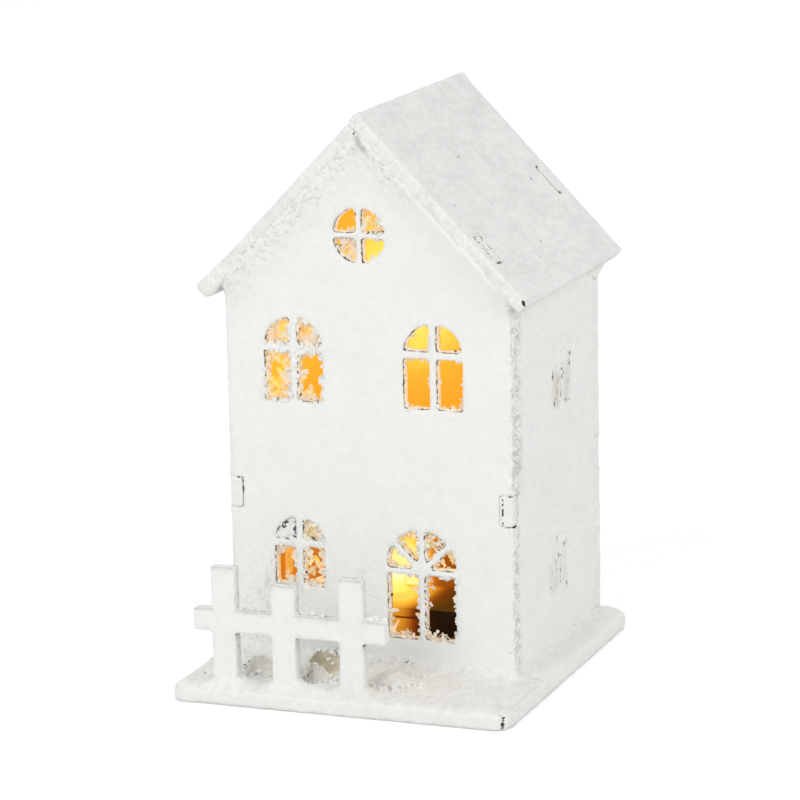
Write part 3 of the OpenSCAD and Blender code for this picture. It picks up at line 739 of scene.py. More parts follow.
def move_points(mesh, points):
    mesh.vertices.foreach_set("co", points.astype(np.float32).ravel())
    mesh.update()


def evaluated(obj):
    bpy.context.view_layer.update()
    return bpy.data.meshes.new_from_object(obj.evaluated_get(bpy.context.evaluated_depsgraph_get()))


def spread_out(mesh, value, rounds):
    """Averages a value with its neighbours, so that it reaches a little further."""
    edges = np.empty(len(mesh.edges) * 2, np.int32)
    mesh.edges.foreach_get("vertices", edges)
    a, b = edges.reshape(-1, 2).T
    count = np.bincount(a, minlength=len(value)) + np.bincount(b, minlength=len(value))
    for _ in range(rounds):
        total = np.bincount(a, value[b], len(value)) + np.bincount(b, value[a], len(value))
        value = 0.5 * value + 0.5 * total / np.maximum(count, 1)
    return value


def house_mm(points):
    return (points - np.array(HOUSE)) / MM


def indoors(points):
    """True for points on the raw faces inside the house."""
    side, depth = np.abs(points[:, X]), np.abs(points[:, Y])
    under = (RIDGE - side * math.tan(PITCH) - points[:, Z]) * math.cos(PITCH)
    return ((side < INNER_X + 0.8) & (depth < INNER_Y + 0.8)
            & (points[:, Z] > PLATE_TOP - 0.4) & (under > ROOF_T - 0.8))


def add_mark(mesh, name, values):
    layer = mesh.attributes.new(name, "FLOAT", "POINT")
    layer.data.foreach_set("value", np.asarray(values, np.float32))


def soften(mesh, points, weight, rounds):
    """Rounds off the edges: each point moves towards its neighbours by its weight."""
    for axis in range(3):
        value = points[:, axis]
        for _ in range(rounds):
            value = value + weight * (spread_out(mesh, value, 1) - value)
        points[:, axis] = value
    return points


def board_shell(node, turn, voxel):
    """A board's solid, welded and turned flat: its object, and its skin as a fine even mesh."""
    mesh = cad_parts[node].data.copy()
    mesh.transform(turn)
    weld = bmesh.new()
    weld.from_mesh(mesh)
    bmesh.ops.remove_doubles(weld, verts=weld.verts, dist=1e-6)
    weld.to_mesh(mesh)
    weld.free()
    shell = link_object(node + "_coat", mesh)
    remesh = shell.modifiers.new("coat", "REMESH")
    remesh.mode = "VOXEL"
    remesh.voxel_size = voxel * MM
    fine = evaluated(shell)
    shell.modifiers.clear()
    return shell, fine


def thin_out(shell, keep, hold, fixed):
    """Fewer faces on a shell: points with little hold go first, and fixed points stay."""
    group = shell.vertex_groups.new(name="thin")
    for step in range(HOLD_STEPS):
        members = np.nonzero((hold >= step / HOLD_STEPS) & (hold < (step + 1) / HOLD_STEPS) & ~fixed)[0]
        group.add(members.tolist(), 1 - step / HOLD_STEPS, "REPLACE")
    thin = shell.modifiers.new("thin", "DECIMATE")
    thin.ratio = keep
    thin.vertex_group = "thin"
    thin.vertex_group_factor = 0.6
    done = evaluated(shell)
    shell.modifiers.clear()
    shell.vertex_groups.clear()
    shell.data = done
    return done


def coat_board(node, material, voxel, keep, broad, seams=(), fills=(), crisp=(), worn=(), pads=(), grey_shade=(),
               grit=0.07, lump=0.22, round_off=6, turn=None, plain_ends=False,
               edge_wear=1.0):
    """A board's solid under its sprayed coat: softened edges, grit on the faces and lumps on the edges.

    Broad is the axis across the board. The coat is thicker along fills, and along pads on the broad faces
    alone. It closes the joint on crisp lines without rounding it, is speckled grey on worn lines and evenly
    grey, as painted shade, on its lines of grey shade. Keep is the share of the fine mesh that stays.
    """
    turn = turn or Matrix()
    shell, fine = board_shell(node, turn, voxel)
    normals = mesh_normals(fine)
    rim = spread_out(fine, np.clip((1 - np.abs(normals).max(axis=1)) * 4, 0, 1), 4)
    side = 1 - np.abs(normals[:, broad])
    points = mesh_points(fine)
    sharp = seam_marks(house_mm(points @ np.array(turn.to_3x3())), crisp)
    move_points(fine, soften(fine, points, np.clip(rim * 1.5, 0, 1) * (1 - sharp), round_off))
    fine.transform(turn.inverted())
    fine.update()
    points = mesh_points(fine)
    normals = mesh_normals(fine)
    place = house_mm(points)
    swell = grit * (0.6 * lumps(place, 2.3, SEED) + 0.7 * lumps(place, 1.3, SEED + 1))
    rough = np.clip(rim * 1.6 + side * 0.5, 0, 1)
    lumpy = lumps(place, 1.9, SEED + 2) * 0.8 + lumps(place, 1.1, SEED + 3) * 0.6 - 0.1
    swell += lump * rough * (1 - sharp) * lumpy
    seam = seam_marks(place, seams)
    swell -= 0.25 * seam * (seam > 0.6)
    swell += seam_marks(place, fills) + 1.3 * SLOT_GAP * sharp * side
    pad = seam_marks(place, pads) * np.clip(2.5 * (1 - side) - 0.4, 0, 1) * np.sign(normals[:, broad])
    raw = indoors(place)
    swell[raw] = 0
    pad[raw] = 0
    points += normals * swell[:, None] * MM
    points[:, broad] += pad * MM
    points[:, Z] = np.maximum(points[:, Z], 0)
    move_points(fine, points)
    shell.data = fine
    hold = np.clip(rough * 0.5 + 0.45 * ~raw, 0, 0.99)
    done = thin_out(shell, keep, hold, np.maximum(seam, 1.6 * seam_marks(place, grey_shade)) >= 0.5)
    done.name = node + "_coat"
    done.polygons.foreach_set("use_smooth", [True] * len(done.polygons))
    place = house_mm(mesh_points(done))
    if len(pads):
        low, high = (house_mm(np.array(v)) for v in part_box(node))
        place[:, broad] = np.clip(place[:, broad], low[broad], high[broad])
    across = np.array(turn.to_3x3().inverted() @ Vector([float(i == broad) for i in range(3)]))
    side = 1 - np.abs(mesh_normals(done) @ across)
    edge = np.clip(side * 1.3 - 0.2, 0, 1) * edge_wear
    if plain_ends:
        edge[np.abs(place[:, Y]) > INNER_Y + 0.5] = 0
    add_mark(done, "joint", seam_marks(place, seams))
    add_mark(done, "edge", np.maximum(edge, seam_marks(place, worn)))
    if len(grey_shade):
        add_mark(done, "grey_shade", seam_marks(place, grey_shade))
    done.materials.clear()
    done.materials.append(material)
    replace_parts(shell, node)
    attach(shell, "house")


# ---------------------------------------------------------------- panes

def box_pane(x0, x1, z0, z1):
    return [(x0, z0), (x1, z0), (x1, z1), (x0, z1)]


def turns(start, end):
    """Even angles from start to end."""
    return [start + (end - start) * i / ARC_STEPS for i in range(ARC_STEPS + 1)]


def quarter_panes(x, z, r, bar, low=False):
    """The left and right pane over a bar, or the two under it: points on the arc and an inner corner."""
    b = bar / 2
    lift = math.asin(b / r)
    pane = [(r * math.cos(a), r * math.sin(a)) for a in turns(lift, math.pi / 2 - lift)] + [(b, b)]
    up = -1 if low else 1
    return [[(x + side * u, z + up * v) for u, v in pane] for side in (-1, 1)]


def window_panes(x, sill, w, rise):
    """Lower left, lower right, upper left and upper right pane of an arched window."""
    b, top = BAR / 2, sill + rise - BAR / 2
    return ([box_pane(x - w / 2, x - b, sill, top), box_pane(x + b, x + w / 2, sill, top)]
            + quarter_panes(x, sill + rise, w / 2, BAR))


def fan_edge(angle, r, over):
    """Where a line from the middle of the transom meets the jamb or the arch that starts over it."""
    dx, dz = math.cos(angle), math.sin(angle)
    if dx * over >= r * dz:
        return (r, r * dz / dx)
    reach = dz * over + math.sqrt((dz * over) ** 2 - over * over + r * r)
    return (reach * dx, reach * dz)


def door_panes(x, sill, w, transom, rise):
    """Two tall panes under the transom and the four panes of the fanlight, from left to right."""
    b, r = DOOR_BAR / 2, w / 2
    over = rise - transom
    lift = math.asin(b / r)
    inner = b * (1 + math.sqrt(2))
    low = [fan_edge(a, r, over) for a in turns(lift, math.pi / 4 - lift)] + [(inner, b)]
    high = [fan_edge(a, r, over) for a in turns(math.pi / 4 + lift, math.pi / 2 - lift * 0.85)] + [(b, inner)]
    fan = [[(x + s * u, sill + transom + v) for u, v in pane]
           for s, pane in ((-1, low), (-1, high), (1, high), (1, low))]
    top = sill + transom - b
    return [box_pane(x - r, x - b, sill, top), box_pane(x + b, x + r, sill, top)] + fan


def pane_sides(pane):
    """The sides of a pane, each from corner to corner."""
    return list(zip(pane, pane[1:] + pane[:1]))


def pane_middle(pane):
    return (sum(p[0] for p in pane) / len(pane), sum(p[1] for p in pane) / len(pane))


UPPER_LEFT = window_panes(-23.5, 85.1, 18.2, 16.1)
UPPER_RIGHT = window_panes(20.6, 85.1, 18.2, 16.1)
LOWER_LEFT = window_panes(-22.9, 28.4, 15.6, 12.9)
ROUND = quarter_panes(-1.8, 135.9, 8.1, ROUND_BAR, low=True) + quarter_panes(-1.8, 135.9, 8.1, ROUND_BAR)
DOOR = door_panes(16, 14.6, 21.4, 20.6, 22.4)
SIDE_UPPER = window_panes(4.2, 78.6, 15.6, 12.8)
SIDE_LOWER = window_panes(-0.9, 20.8, 15.6, 12.8)


# ---------------------------------------------------------------- seams

def lines_through(points, strength, width, closed=False):
    ends = points[1:] + (points[:1] if closed else [])
    return [(a, b, strength, width) for a, b in zip(points, ends)]


def on_front(points, y):
    return [(u, y, z) for u, z in points]


def spot(place, strength, width):
    return (place, place, strength, width)


def tab_lines(face):
    """Outlines of the side walls' tabs in a gable wall, on its face and halfway into the board."""
    lines = []
    top, foot = TAB_Z + TAB_H / 2 + SLOT_GAP / 2, TAB_Z - TAB_H / 2 - SLOT_GAP / 2
    for side in (-1, 1):
        x = side * (INNER_X - SLOT_GAP / 2)
        outline = [(side * HALF_W, top), (x, top), (x, foot), (side * HALF_W, foot)]
        for y in (face, face - math.copysign(BOARD / 2, face)):
            lines += lines_through(on_front(outline, y), 1.0, 1.3)
    return lines


def gable_seams(face, panes):
    """Joints of a gable wall on its outer face: roof line, corners, foot and pane edges; their dark lines are
    partly painted shade in the gaps, and round the panes also the raw inner edge of the board.
    """
    inner = math.copysign(INNER_Y, face)
    eave = UNDER_RIDGE - HALF_W * math.tan(PITCH)
    seams = [((-HALF_W, face, PLATE_TOP), (HALF_W, face, PLATE_TOP), 0.4, 0.7)]
    for x in (-HALF_W, HALF_W):
        seams += [((0, face, UNDER_RIDGE), (x, face, eave), 0.4, 1.0),
                  ((x, inner, PLATE_TOP), (x, inner, EAVE_Z), 0.62, 0.8),
                  ((x, face, EAVE_Z - 6), (x, face, EAVE_Z), 0.7, 0.8)]
    for pane in panes:
        seams += lines_through(on_front(pane, face - math.copysign(0.7, face)), 0.84, 0.9, True)
    return seams


def side_seams(face):
    """Joints of a side wall: the corners, the eave, and a dark spot at the back under it; the dark line along
    the eave is painted shade under the eave.
    """
    seams = [((face, y, PLATE_TOP), (face, y, EAVE_Z), strength, 0.9)
             for y, strength in ((-INNER_Y, 0.66), (INNER_Y, 0.45))]
    return seams + [((face, -INNER_Y, EAVE_Z), (face, INNER_Y, EAVE_Z), 0.7, 0.9),
                    ((face, INNER_Y - 1, EAVE_Z - 3.5), (face, INNER_Y, EAVE_Z - 3.5), 1.1, 0.8)]


def on_slope(s, y, side, down=0.0):
    """A point on a roof board: s down the slope from the ridge, down under its upper face."""
    c, n = math.cos(PITCH), math.sin(PITCH)
    return (side * (s * c - down * n), y, RIDGE - s * n - down * c)


# Loose specks on a roof board: way down the slope, depth
ROOF_SPOTS = ((16, -27), (25, -7), (30, -38), (38, -36), (41, 27), (42, -30), (50, 2), (60, -3), (60, -23),
              (64, -12), (66, -30), (70, -16))
APEX_SPOT = (-0.6, -RAKE_Y, 166.8)


def roof_seams(side):
    """Joints of a roof board: ridge, rakes and eave, a crack by the back slot, and loose specks."""
    seams = [(on_slope(0, -RAKE_Y, side), on_slope(0, RAKE_Y, side), 0.35, 0.8),
             (on_slope(ROOF_L, -RAKE_Y, side), on_slope(ROOF_L, RAKE_Y, side), 0.35, 0.7),
             (on_slope(51, INNER_Y - 1.6, side), on_slope(56.5, INNER_Y - 0.8, side), 0.66, 0.6),
             spot(APEX_SPOT, 1.15, 1.0)]
    for y in (-RAKE_Y, RAKE_Y):
        inset = y - math.copysign(0.4, y)
        eave_corner = (on_slope(ROOF_L - 1.8, inset, side, 0.5), on_slope(ROOF_L - 0.8, inset, side, 1.0))
        seams += [(on_slope(0, y, side), on_slope(ROOF_L, y, side), 0.3, 0.7),
                  (on_slope(1, y, side, 1), on_slope(3, y, side, ROOF_T), 0.66, 1.0),
                  (*eave_corner, 1.0, 0.75)]
    return seams + [spot(on_slope(s, y, side), 0.9, 0.8) for s, y in ROOF_SPOTS]


def slot_lines(side):
    """Outlines of the gable walls' tabs in a roof board, on its face and halfway into the board."""
    lines = []
    long, deep = ROOF_TAB_HALF
    for s, y in ((FRONT_TAB_S, -TAB_Y), (BACK_TAB_S, TAB_Y)):
        for down in (0, ROOF_T / 2):
            corners = [on_slope(s + a * long, y + b * deep, side, down)
                       for a, b in ((-1, -1), (1, -1), (1, 1), (-1, 1))]
            lines += lines_through(corners, 1.0, 1.3, True)
    return lines


def eave_fill(side):
    """The coat is thicker towards the eave's end."""
    return [(on_slope(ROOF_L, -RAKE_Y, side, 2), on_slope(ROOF_L, RAKE_Y, side, 2), 0.75, 9.0)]


def plate_seams():
    """Joints on the yard plate: round the foot of the house, a crack in the front right corner and a chip."""
    z = PLATE_TOP
    foot = [(-HALF_W, -HALF_D, z), (HALF_W, -HALF_D, z), (HALF_W, HALF_D, z), (-HALF_W, HALF_D, z)]
    right, front = PLATE_MID[0] + PLATE_HALF[0], PLATE_MID[1] - PLATE_HALF[1]
    crack = [((right - 1.4, front + 1.3, 1.8), (right - 1.2, front + 1.5, z - 0.3), 1.15, 1.1),
             ((right - 1.3, front + 1.3, 0.0), (right - 2.8, front + 0.5, 0.0), 0.9, 0.9)]
    chip = [((-35.8, front, z), (-34.2, front, z), 1.0, 0.7)]
    return lines_through(foot, 0.35, 0.9, True) + crack + chip


def fence_corner_shade():
    """Painted shade in the corners under the rail beside each picket, and broken dark lines on the rail and
    the pickets' tops.
    """
    seams = []
    front, back, (foot, rail) = FENCE_LOW.y, FENCE_HIGH.y, RAIL
    for (x, half), top in zip(PICKETS, PICKET_TOPS):
        right = x + half
        seams += [((right, front + 0.8, foot - 0.7), (right, back - 0.2, foot - 0.7), 0.95, 0.7),
                  ((right, back - 0.3, rail), (right + 10.5, back - 0.3, rail), 0.78, 1.0),
                  ((x - half, back - 0.4, top), (right, back - 0.4, top), 0.8, 1.2),
                  ((right, back - 0.6, top), (right, back - 0.6, top - 5), 0.76, 1.0)]
    return seams


def fence_wear():
    """Grey lumps of snow on top of the rail, beside the pickets and on their tops."""
    lines = []
    back, (foot, rail) = FENCE_HIGH.y, RAIL
    for (x, half), top in zip(PICKETS, PICKET_TOPS):
        right = x + half
        lines += [((right, back - 1, foot), (right, back - 1, foot - 5), 0.9, 2.2),
                  ((right, back - 1, rail), (right + 11, back - 1, rail), 1.0, 1.6),
                  ((right, back - 1.5, rail), (right, back - 1.5, top), 0.8, 1.8),
                  ((x - half, back - 1.5, top), (right, back - 1.5, top), 0.8, 1.5)]
    return lines


def rake_lines(face, run, amount, left, right):
    """Lines under the two slopes of the roof on a gable wall, out to run, each with its width."""
    low = UNDER_RIDGE - run * math.tan(PITCH)
    return [((0, face, UNDER_RIDGE), (x, face, low), amount, width)
            for x, width in ((-run, left), (run, right))]


def fence_grey_shade():
    """Painted grey shade: grey outlines of the pickets' tops and of the rail, and the shaded right sides of
    the pickets.
    """
    front, back, (foot, rail) = FENCE_LOW.y + 0.1, FENCE_HIGH.y - 0.1, RAIL
    lines = []
    for (x, half), top in zip(PICKETS, PICKET_TOPS):
        lines += [((x - half, y, top), (x + half, y, top), 0.5, 0.5) for y in (front, back)]
        lines += [((x + half, back - 0.8, rail), (x + half, back - 0.8, top), 0.4, 1.5),
                  ((x + half, back - 0.8, PLATE_TOP), (x + half, back - 0.8, foot), 0.3, 1.5)]
    ends = [FENCE_LOW.x] + [v for x, half in PICKETS for v in (x - half, x + half)] + [FENCE_HIGH.x]
    for start, end in zip(ends[::2], ends[1::2]):
        lines += [((start, y, rail), (end, y, rail), 0.5, 0.5) for y in (front, back)]
    return lines


def front_wear():
    """Worn places on the front wall: its upright edges, under the roof, by the fence, and single marks."""
    y = -HALF_D
    lines = [((HALF_W, y, PLATE_TOP), (HALF_W, y, EAVE_Z), 0.8, 0.5),
             ((-HALF_W, y, PLATE_TOP), (-HALF_W, y, EAVE_Z), 0.4, 0.8),
             ((-38, y, 12), (-28, y, 34), 0.6, 9.0),
             ((-8, y, 12), (-4, y, 30), 0.35, 7.0)]
    lines += [((0, y, UNDER_RIDGE), (x, y, UNDER_RIDGE - abs(x) * math.tan(PITCH)), 0.75, 6.0)
              for x in (-42, 14)]
    return lines + [((x0, y, z0), (x1, y, z1), 1.0, 1.1) for x0, z0, x1, z1 in FRONT_MARKS]


FRONT_PANES = UPPER_LEFT + UPPER_RIGHT + LOWER_LEFT + ROUND + DOOR
FLAT_RIGHT = Matrix.Rotation(-PITCH, 4, "Y")
FLAT_LEFT = Matrix.Rotation(PITCH, 4, "Y")
FRONT_TABS, BACK_TABS = tab_lines(-HALF_D), tab_lines(HALF_D)
LEFT_SLOTS, RIGHT_SLOTS = slot_lines(-1), slot_lines(1)
ROOF_SLOTS = LEFT_SLOTS + RIGHT_SLOTS

# Where the coat lies thicker
TAB_FILL = [(a, b, 0.25, 0.9) for a, b, _, _ in BACK_TABS]
BACK_FILL = [((x, HALF_D, PLATE_TOP), (x, HALF_D, EAVE_Z), 0.3, 2.0) for x in (-HALF_W, HALF_W)] + TAB_FILL
RIDGE_FILL = [((0, -RAKE_Y, RIDGE), (0, RAKE_Y, RIDGE), 0.4, 3.0)]
TIP_X, TIP_Y = PLATE_MID[0] - PLATE_HALF[0] + 1.2, PLATE_MID[1] - PLATE_HALF[1] + 1.2
PLATE_TIP = [((TIP_X, TIP_Y, 0.8), (TIP_X, TIP_Y, PLATE_TOP - 0.8), 0.8, 4.0)]
PAD_RUN, PAD_THICK = HALF_W - 4, OVERHANG - 0.8

# Single dark spots and worn marks on the front wall, and the worn corner of the right wall
FRONT_SPOTS = [spot((-41.8, -HALF_D, 124.0), 1.1, 0.7), spot((-42.2, -HALF_D, 51.1), 0.9, 0.6)]
FRONT_MARKS = ((-34.9, 130.5, -32.9, 128.1), (-38.6, 125.6, -36.8, 125.0), (-24.4, 140.9, -24.0, 140.2),
               (-28.6, 137.4, -28.2, 136.8), (-20.0, 142.0, -19.6, 141.4))
# Painted grey shade on the front wall just under the apex, where the roof boards meet
APEX_GREY_SHADE = lines_through(on_front([(0, 165.6), (0.6, 163.3), (1.8, 161.9)], -HALF_D), 0.8, 1.0)
CORNER_WEAR = [((HALF_W, -INNER_Y + 1.2, 62), (HALF_W, -INNER_Y + 1.2, EAVE_Z), 1.0, 3.6),
               ((HALF_W, -INNER_Y, PLATE_TOP), (HALF_W, -INNER_Y, 62), 0.8, 1.8)]

coat_board("front_wall", COAT_FRONT, voxel=0.45, keep=0.24, broad=Y,
           seams=gable_seams(-HALF_D, FRONT_PANES) + FRONT_SPOTS,
           fills=rake_lines(-HALF_D, HALF_W, 1.0, 2.0, 2.0), crisp=FRONT_TABS + ROOF_SLOTS, worn=front_wear(),
           pads=rake_lines(-HALF_D, PAD_RUN, PAD_THICK, 8.0, 6.0), grey_shade=APEX_GREY_SHADE, round_off=2)
coat_board("back_wall", COAT_SIDE, voxel=0.7, keep=0.3, broad=Y, seams=gable_seams(HALF_D, []),
           fills=BACK_FILL + rake_lines(HALF_D, HALF_W, 1.0, 2.0, 2.0), crisp=BACK_TABS + ROOF_SLOTS,
           pads=rake_lines(HALF_D, PAD_RUN, PAD_THICK, 6.0, 6.0), edge_wear=0.15)
coat_board("left_wall", COAT_SIDE, voxel=0.7, keep=0.36, broad=X, seams=side_seams(-HALF_W), fills=TAB_FILL,
           crisp=FRONT_TABS + BACK_TABS, grit=0.09, plain_ends=True)
coat_board("right_wall", COAT_SIDE, voxel=0.6, keep=0.36, broad=X, seams=side_seams(HALF_W), fills=TAB_FILL,
           crisp=FRONT_TABS + BACK_TABS, worn=CORNER_WEAR, grit=0.09, plain_ends=True)
coat_board("left_roof_board", COAT_ROOF, voxel=0.6, keep=0.36, broad=Z, seams=roof_seams(-1),
           fills=eave_fill(-1), crisp=LEFT_SLOTS, grit=0.12, lump=0.12, round_off=5, turn=FLAT_LEFT)
coat_board("right_roof_board", COAT_ROOF, voxel=0.6, keep=0.36, broad=Z, seams=roof_seams(1),
           fills=RIDGE_FILL, crisp=RIGHT_SLOTS, grit=0.12, lump=0.12, round_off=5, turn=FLAT_RIGHT)
coat_board("base_plate", COAT_PLATE, voxel=0.7, keep=0.34, broad=Z, seams=plate_seams(), fills=PLATE_TIP,
           grit=0.08, round_off=4)
coat_board("picket_fence", COAT_FENCE, voxel=0.42, keep=0.32, broad=Y, seams=fence_corner_shade(), worn=fence_wear(),
           grey_shade=fence_grey_shade(), grit=0.05, lump=0.1, round_off=0, edge_wear=0.3)


# ---------------------------------------------------------------- snow in the yard and in the corners

# Heaps behind the fence: middle, height, radius and how earthy they look
HEAPS = ((-29.8, -57.0, 5.4, 4.9, 0.3), (-9.6, -54.8, 8.2, 5.8, 0.95), (-10.2, -60.6, 5.0, 4.4, 0.36),
         (12.0, -56.5, 3.6, 6.8, 0.08))

# Spacing of the points in the yard's snow, along the snow in the corners, and in the snow of a closed window
YARD_STEP = 0.7
FILLET_STEP = 0.75
FILLET_BEND = 8
PLUG_STEP = 0.5


def closed_sheet(top, under, rows, cols):
    """Faces of a closed mesh from two grids of points, the upper one first."""
    n = rows * cols
    faces = []
    for i in range(rows - 1):
        for j in range(cols - 1):
            a, b, c, d = i * cols + j, i * cols + j + 1, (i + 1) * cols + j + 1, (i + 1) * cols + j
            faces += [(a, b, c, d), (n + d, n + c, n + b, n + a)]
    rim = ([(0, j) for j in range(cols)] + [(i, cols - 1) for i in range(1, rows)]
           + [(rows - 1, j) for j in range(cols - 2, -1, -1)] + [(i, 0) for i in range(rows - 2, 0, -1)])
    ring = [i * cols + j for i, j in rim]
    for a, b in zip(ring, ring[1:] + ring[:1]):
        faces.append((b, a, n + a, n + b))
    return np.vstack((top, under)), faces


def snow_object(name, mesh, material, **marks):
    """A piece of snow on the house, with the marks that its material reads."""
    for mark, values in marks.items():
        add_mark(mesh, mark, values)
    mesh.materials.append(material)
    piece = link_object(name, mesh)
    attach(piece, "house")
    return piece


def snow_piece(name, points, faces, material, **marks):
    """A lumpy snow mesh, given in house millimetres."""
    mesh = bpy.data.meshes.new(name)
    mesh.from_pydata((points * MM + np.array(HOUSE)).tolist(), [], faces)
    turned = bmesh.new()
    turned.from_mesh(mesh)
    bmesh.ops.recalc_face_normals(turned, faces=turned.faces)
    turned.to_mesh(mesh)
    turned.free()
    mesh.polygons.foreach_set("use_smooth", [True] * len(mesh.polygons))
    return snow_object(name, mesh, material, **marks)


def box_gap(x, y, x0, x1, y0, y1):
    """Distance from points to an upright box, seen from above."""
    dx = np.maximum(np.maximum(x0 - x, x - x1), 0)
    dy = np.maximum(np.maximum(y0 - y, y - y1), 0)
    return np.hypot(dx, dy)


def snow_height(x, y):
    """Height of the snow over the plate: heaps behind the fence, drifts along the fence and the wall."""
    flat = np.column_stack((x, y, np.zeros(len(x))))
    height = 0.75 + 2.4 * np.exp(-box_gap(x, y, -HALF_W, HALF_W, -HALF_D, HALF_D) / 1.6)
    height += 1.6 * np.clip((y + 53) / 8, 0, 1) * np.clip((24 - x) / 10, 0, 1)
    for middle, half in PICKETS:
        gap = box_gap(x, y, middle - half, middle + half, FENCE_LOW.y, FENCE_HIGH.y)
        height += 2.0 * np.exp(-gap / 1.5) * (1 + 0.4 * lumps(flat, 3.0, SEED + 31))
    first, last = PICKETS[0][0], PICKETS[-1][0]
    drift = box_gap(x, y, first, last, FENCE_LOW.y + 1, FENCE_HIGH.y - 1)
    deep = np.interp(x, (-32, -27, -12, -6), (1.6, 0.8, 0.8, 2.2))
    height += deep * np.exp(-((drift / 2.2) ** 2)) * (1 + 0.5 * lumps(flat, 3.6, SEED + 30))
    for middle_x, middle_y, tall, r, _ in HEAPS:
        away = np.hypot(x - middle_x, y - middle_y) / r * (1 + 0.14 * lumps(flat, 4.5, SEED + 32))
        dome = np.clip(1 - away ** 2, 0, 1) ** 0.6
        dome *= tall + 0.7 * lumps(flat, 1.9, SEED + 38) + 0.5 * lumps(flat, 1.2, SEED + 39)
        height = np.maximum(height, dome)
    height += (0.2 * lumps(flat, 4.2, SEED + 33) + 0.2 * lumps(flat, 2.0, SEED + 34)
               + 0.12 * lumps(flat, 1.2, SEED + 35))
    return np.clip(height, 0.45, None)


def yard_snow():
    """Snow lying in the yard, thinner towards the plate's edge."""
    xs = np.arange(PLATE_MID[0] - PLATE_HALF[0] + 0.4, PLATE_MID[0] + PLATE_HALF[0] - 0.3, YARD_STEP)
    ys = np.arange(PLATE_MID[1] - PLATE_HALF[1] + 0.4, -HALF_D + 1.2, YARD_STEP)
    x, y = (v.ravel() for v in np.meshgrid(xs, ys))
    qx = np.abs(x - PLATE_MID[0]) - (PLATE_HALF[0] - PLATE_CORNER)
    qy = np.abs(y - PLATE_MID[1]) - (PLATE_HALF[1] - PLATE_CORNER)
    out = np.hypot(np.maximum(qx, 0), np.maximum(qy, 0))
    back = np.where((qx > 0) & (qy > 0), np.minimum(1, (PLATE_CORNER - 0.4) / np.maximum(out, 1e-6)), 1)
    x = x - np.sign(x - PLATE_MID[0]) * np.maximum(qx, 0) * (1 - back)
    y = y - np.sign(y - PLATE_MID[1]) * np.maximum(qy, 0) * (1 - back)
    rim = PLATE_CORNER - out * back - np.minimum(np.maximum(qx, qy), 0)
    height = snow_height(x, y) * np.clip(rim / 2.6, 0, 1) ** 0.6 - 0.5 * (rim < 0.7)
    top = np.column_stack((x, y, PLATE_TOP - 0.15 + height))
    under = np.column_stack((x, y, np.full(len(x), PLATE_TOP - 0.9)))
    points, faces = closed_sheet(top, under, len(ys), len(xs))
    # Behind the fence the snow takes more dark marks and grey specks: partly painted shade of the enclosed
    # yard
    behind = np.clip((points[:, 1] - FENCE_HIGH.y) / 3, 0, 1) * np.clip((22 - points[:, 0]) / 14, 0, 1)
    mark = 0.3 + 0.2 * behind + 0.25 * lumps(points, 4.0, SEED + 36)
    specks = [((-13.8, -58.4, 9.0), (-5.0, -57.8, 9.2), 0.8, 1.5)]
    specks += [spot((x, -HALF_D - 0.6, PLATE_TOP + 1), 1.0, 0.9) for x in (28.3, 33.4, 40.9)]
    specks.append(((-35.9, -75.4, PLATE_TOP + 0.4), (-34.6, -75.4, PLATE_TOP + 0.4), 1.0, 0.7))
    mark = np.clip(np.maximum(mark, seam_marks(points, specks)), 0, 1)
    tint = np.zeros(len(points))
    for middle_x, middle_y, _, r, earthy in HEAPS:
        away = np.hypot(points[:, 0] - middle_x, points[:, 1] - middle_y)
        away = away / r * (1 + 0.2 * lumps(points, 2.2, SEED + 40))
        tint = np.maximum(tint, earthy * np.clip((1.1 - away) * 3, 0, 1))
    tint *= 0.85 + 0.35 * lumps(points, 1.8, SEED + 37)
    return snow_piece("yard_snow", points, faces, HEAP_SNOW, joint=mark,
                      edge=np.clip(0.15 + 0.6 * behind, 0, 1), tint=np.clip(tint, 0, 1))


def snow_fillet(name, start, end, up, out, rise, reach, seed, marks, hollow=(1.7, 1.7), lumpy=0.3, ragged=1.0,
                spots=(), taper=2.0):
    """Snow caught in an inner corner: it climbs one face by rise and covers the other by reach.

    Marks are how dark and how speckled it is; it starts over a length of taper.
    """
    start, end, up, out = (np.array(v, float) for v in (start, end, up, out))
    length = np.linalg.norm(end - start)
    rows = int(length / FILLET_STEP) + 1
    bend = np.linspace(0, 1, FILLET_BEND)
    along = np.linspace(0, 1, rows)
    path = start + along[:, None] * (end - start)
    ends = np.clip(np.minimum(along / taper, (1 - along) / 2.0) * length, 0.25, 1)
    grow_up = ends * (1 + ragged * (0.5 * lumps(path, 5.5, seed) + 0.3 * lumps(path, 2.2, seed + 1)))
    grow_out = ends * (1 + ragged * (0.35 * lumps(path, 6.5, seed + 2) + 0.3 * lumps(path, 2.4, seed + 3)))
    high, wide = (1 - bend) ** hollow[0], bend ** hollow[1]
    top = (path[:, None, :] + up * (rise * grow_up[:, None] * high)[..., None]
           + out * (reach * grow_out[:, None] * wide)[..., None]).reshape(-1, 3)
    away = (up + out) / np.linalg.norm(up + out)
    belly = np.tile(np.sin(bend * math.pi), rows)
    top = top + away * (lumpy * (0.3 + belly) * lumps(top, 1.7, seed + 4))[:, None]
    under = np.repeat(path, len(bend), axis=0) - away * 0.7
    points, faces = closed_sheet(top, under, rows, len(bend))
    vary = lumps(points, 4.0, seed + 5)
    seam = np.maximum(marks[0] + 0.22 * vary, seam_marks(points, spots))
    return snow_piece(name, points, faces, CORNER_SNOW, joint=np.clip(seam, 0, 1),
                      edge=np.clip(marks[1] + 0.3 * vary, 0, 1))


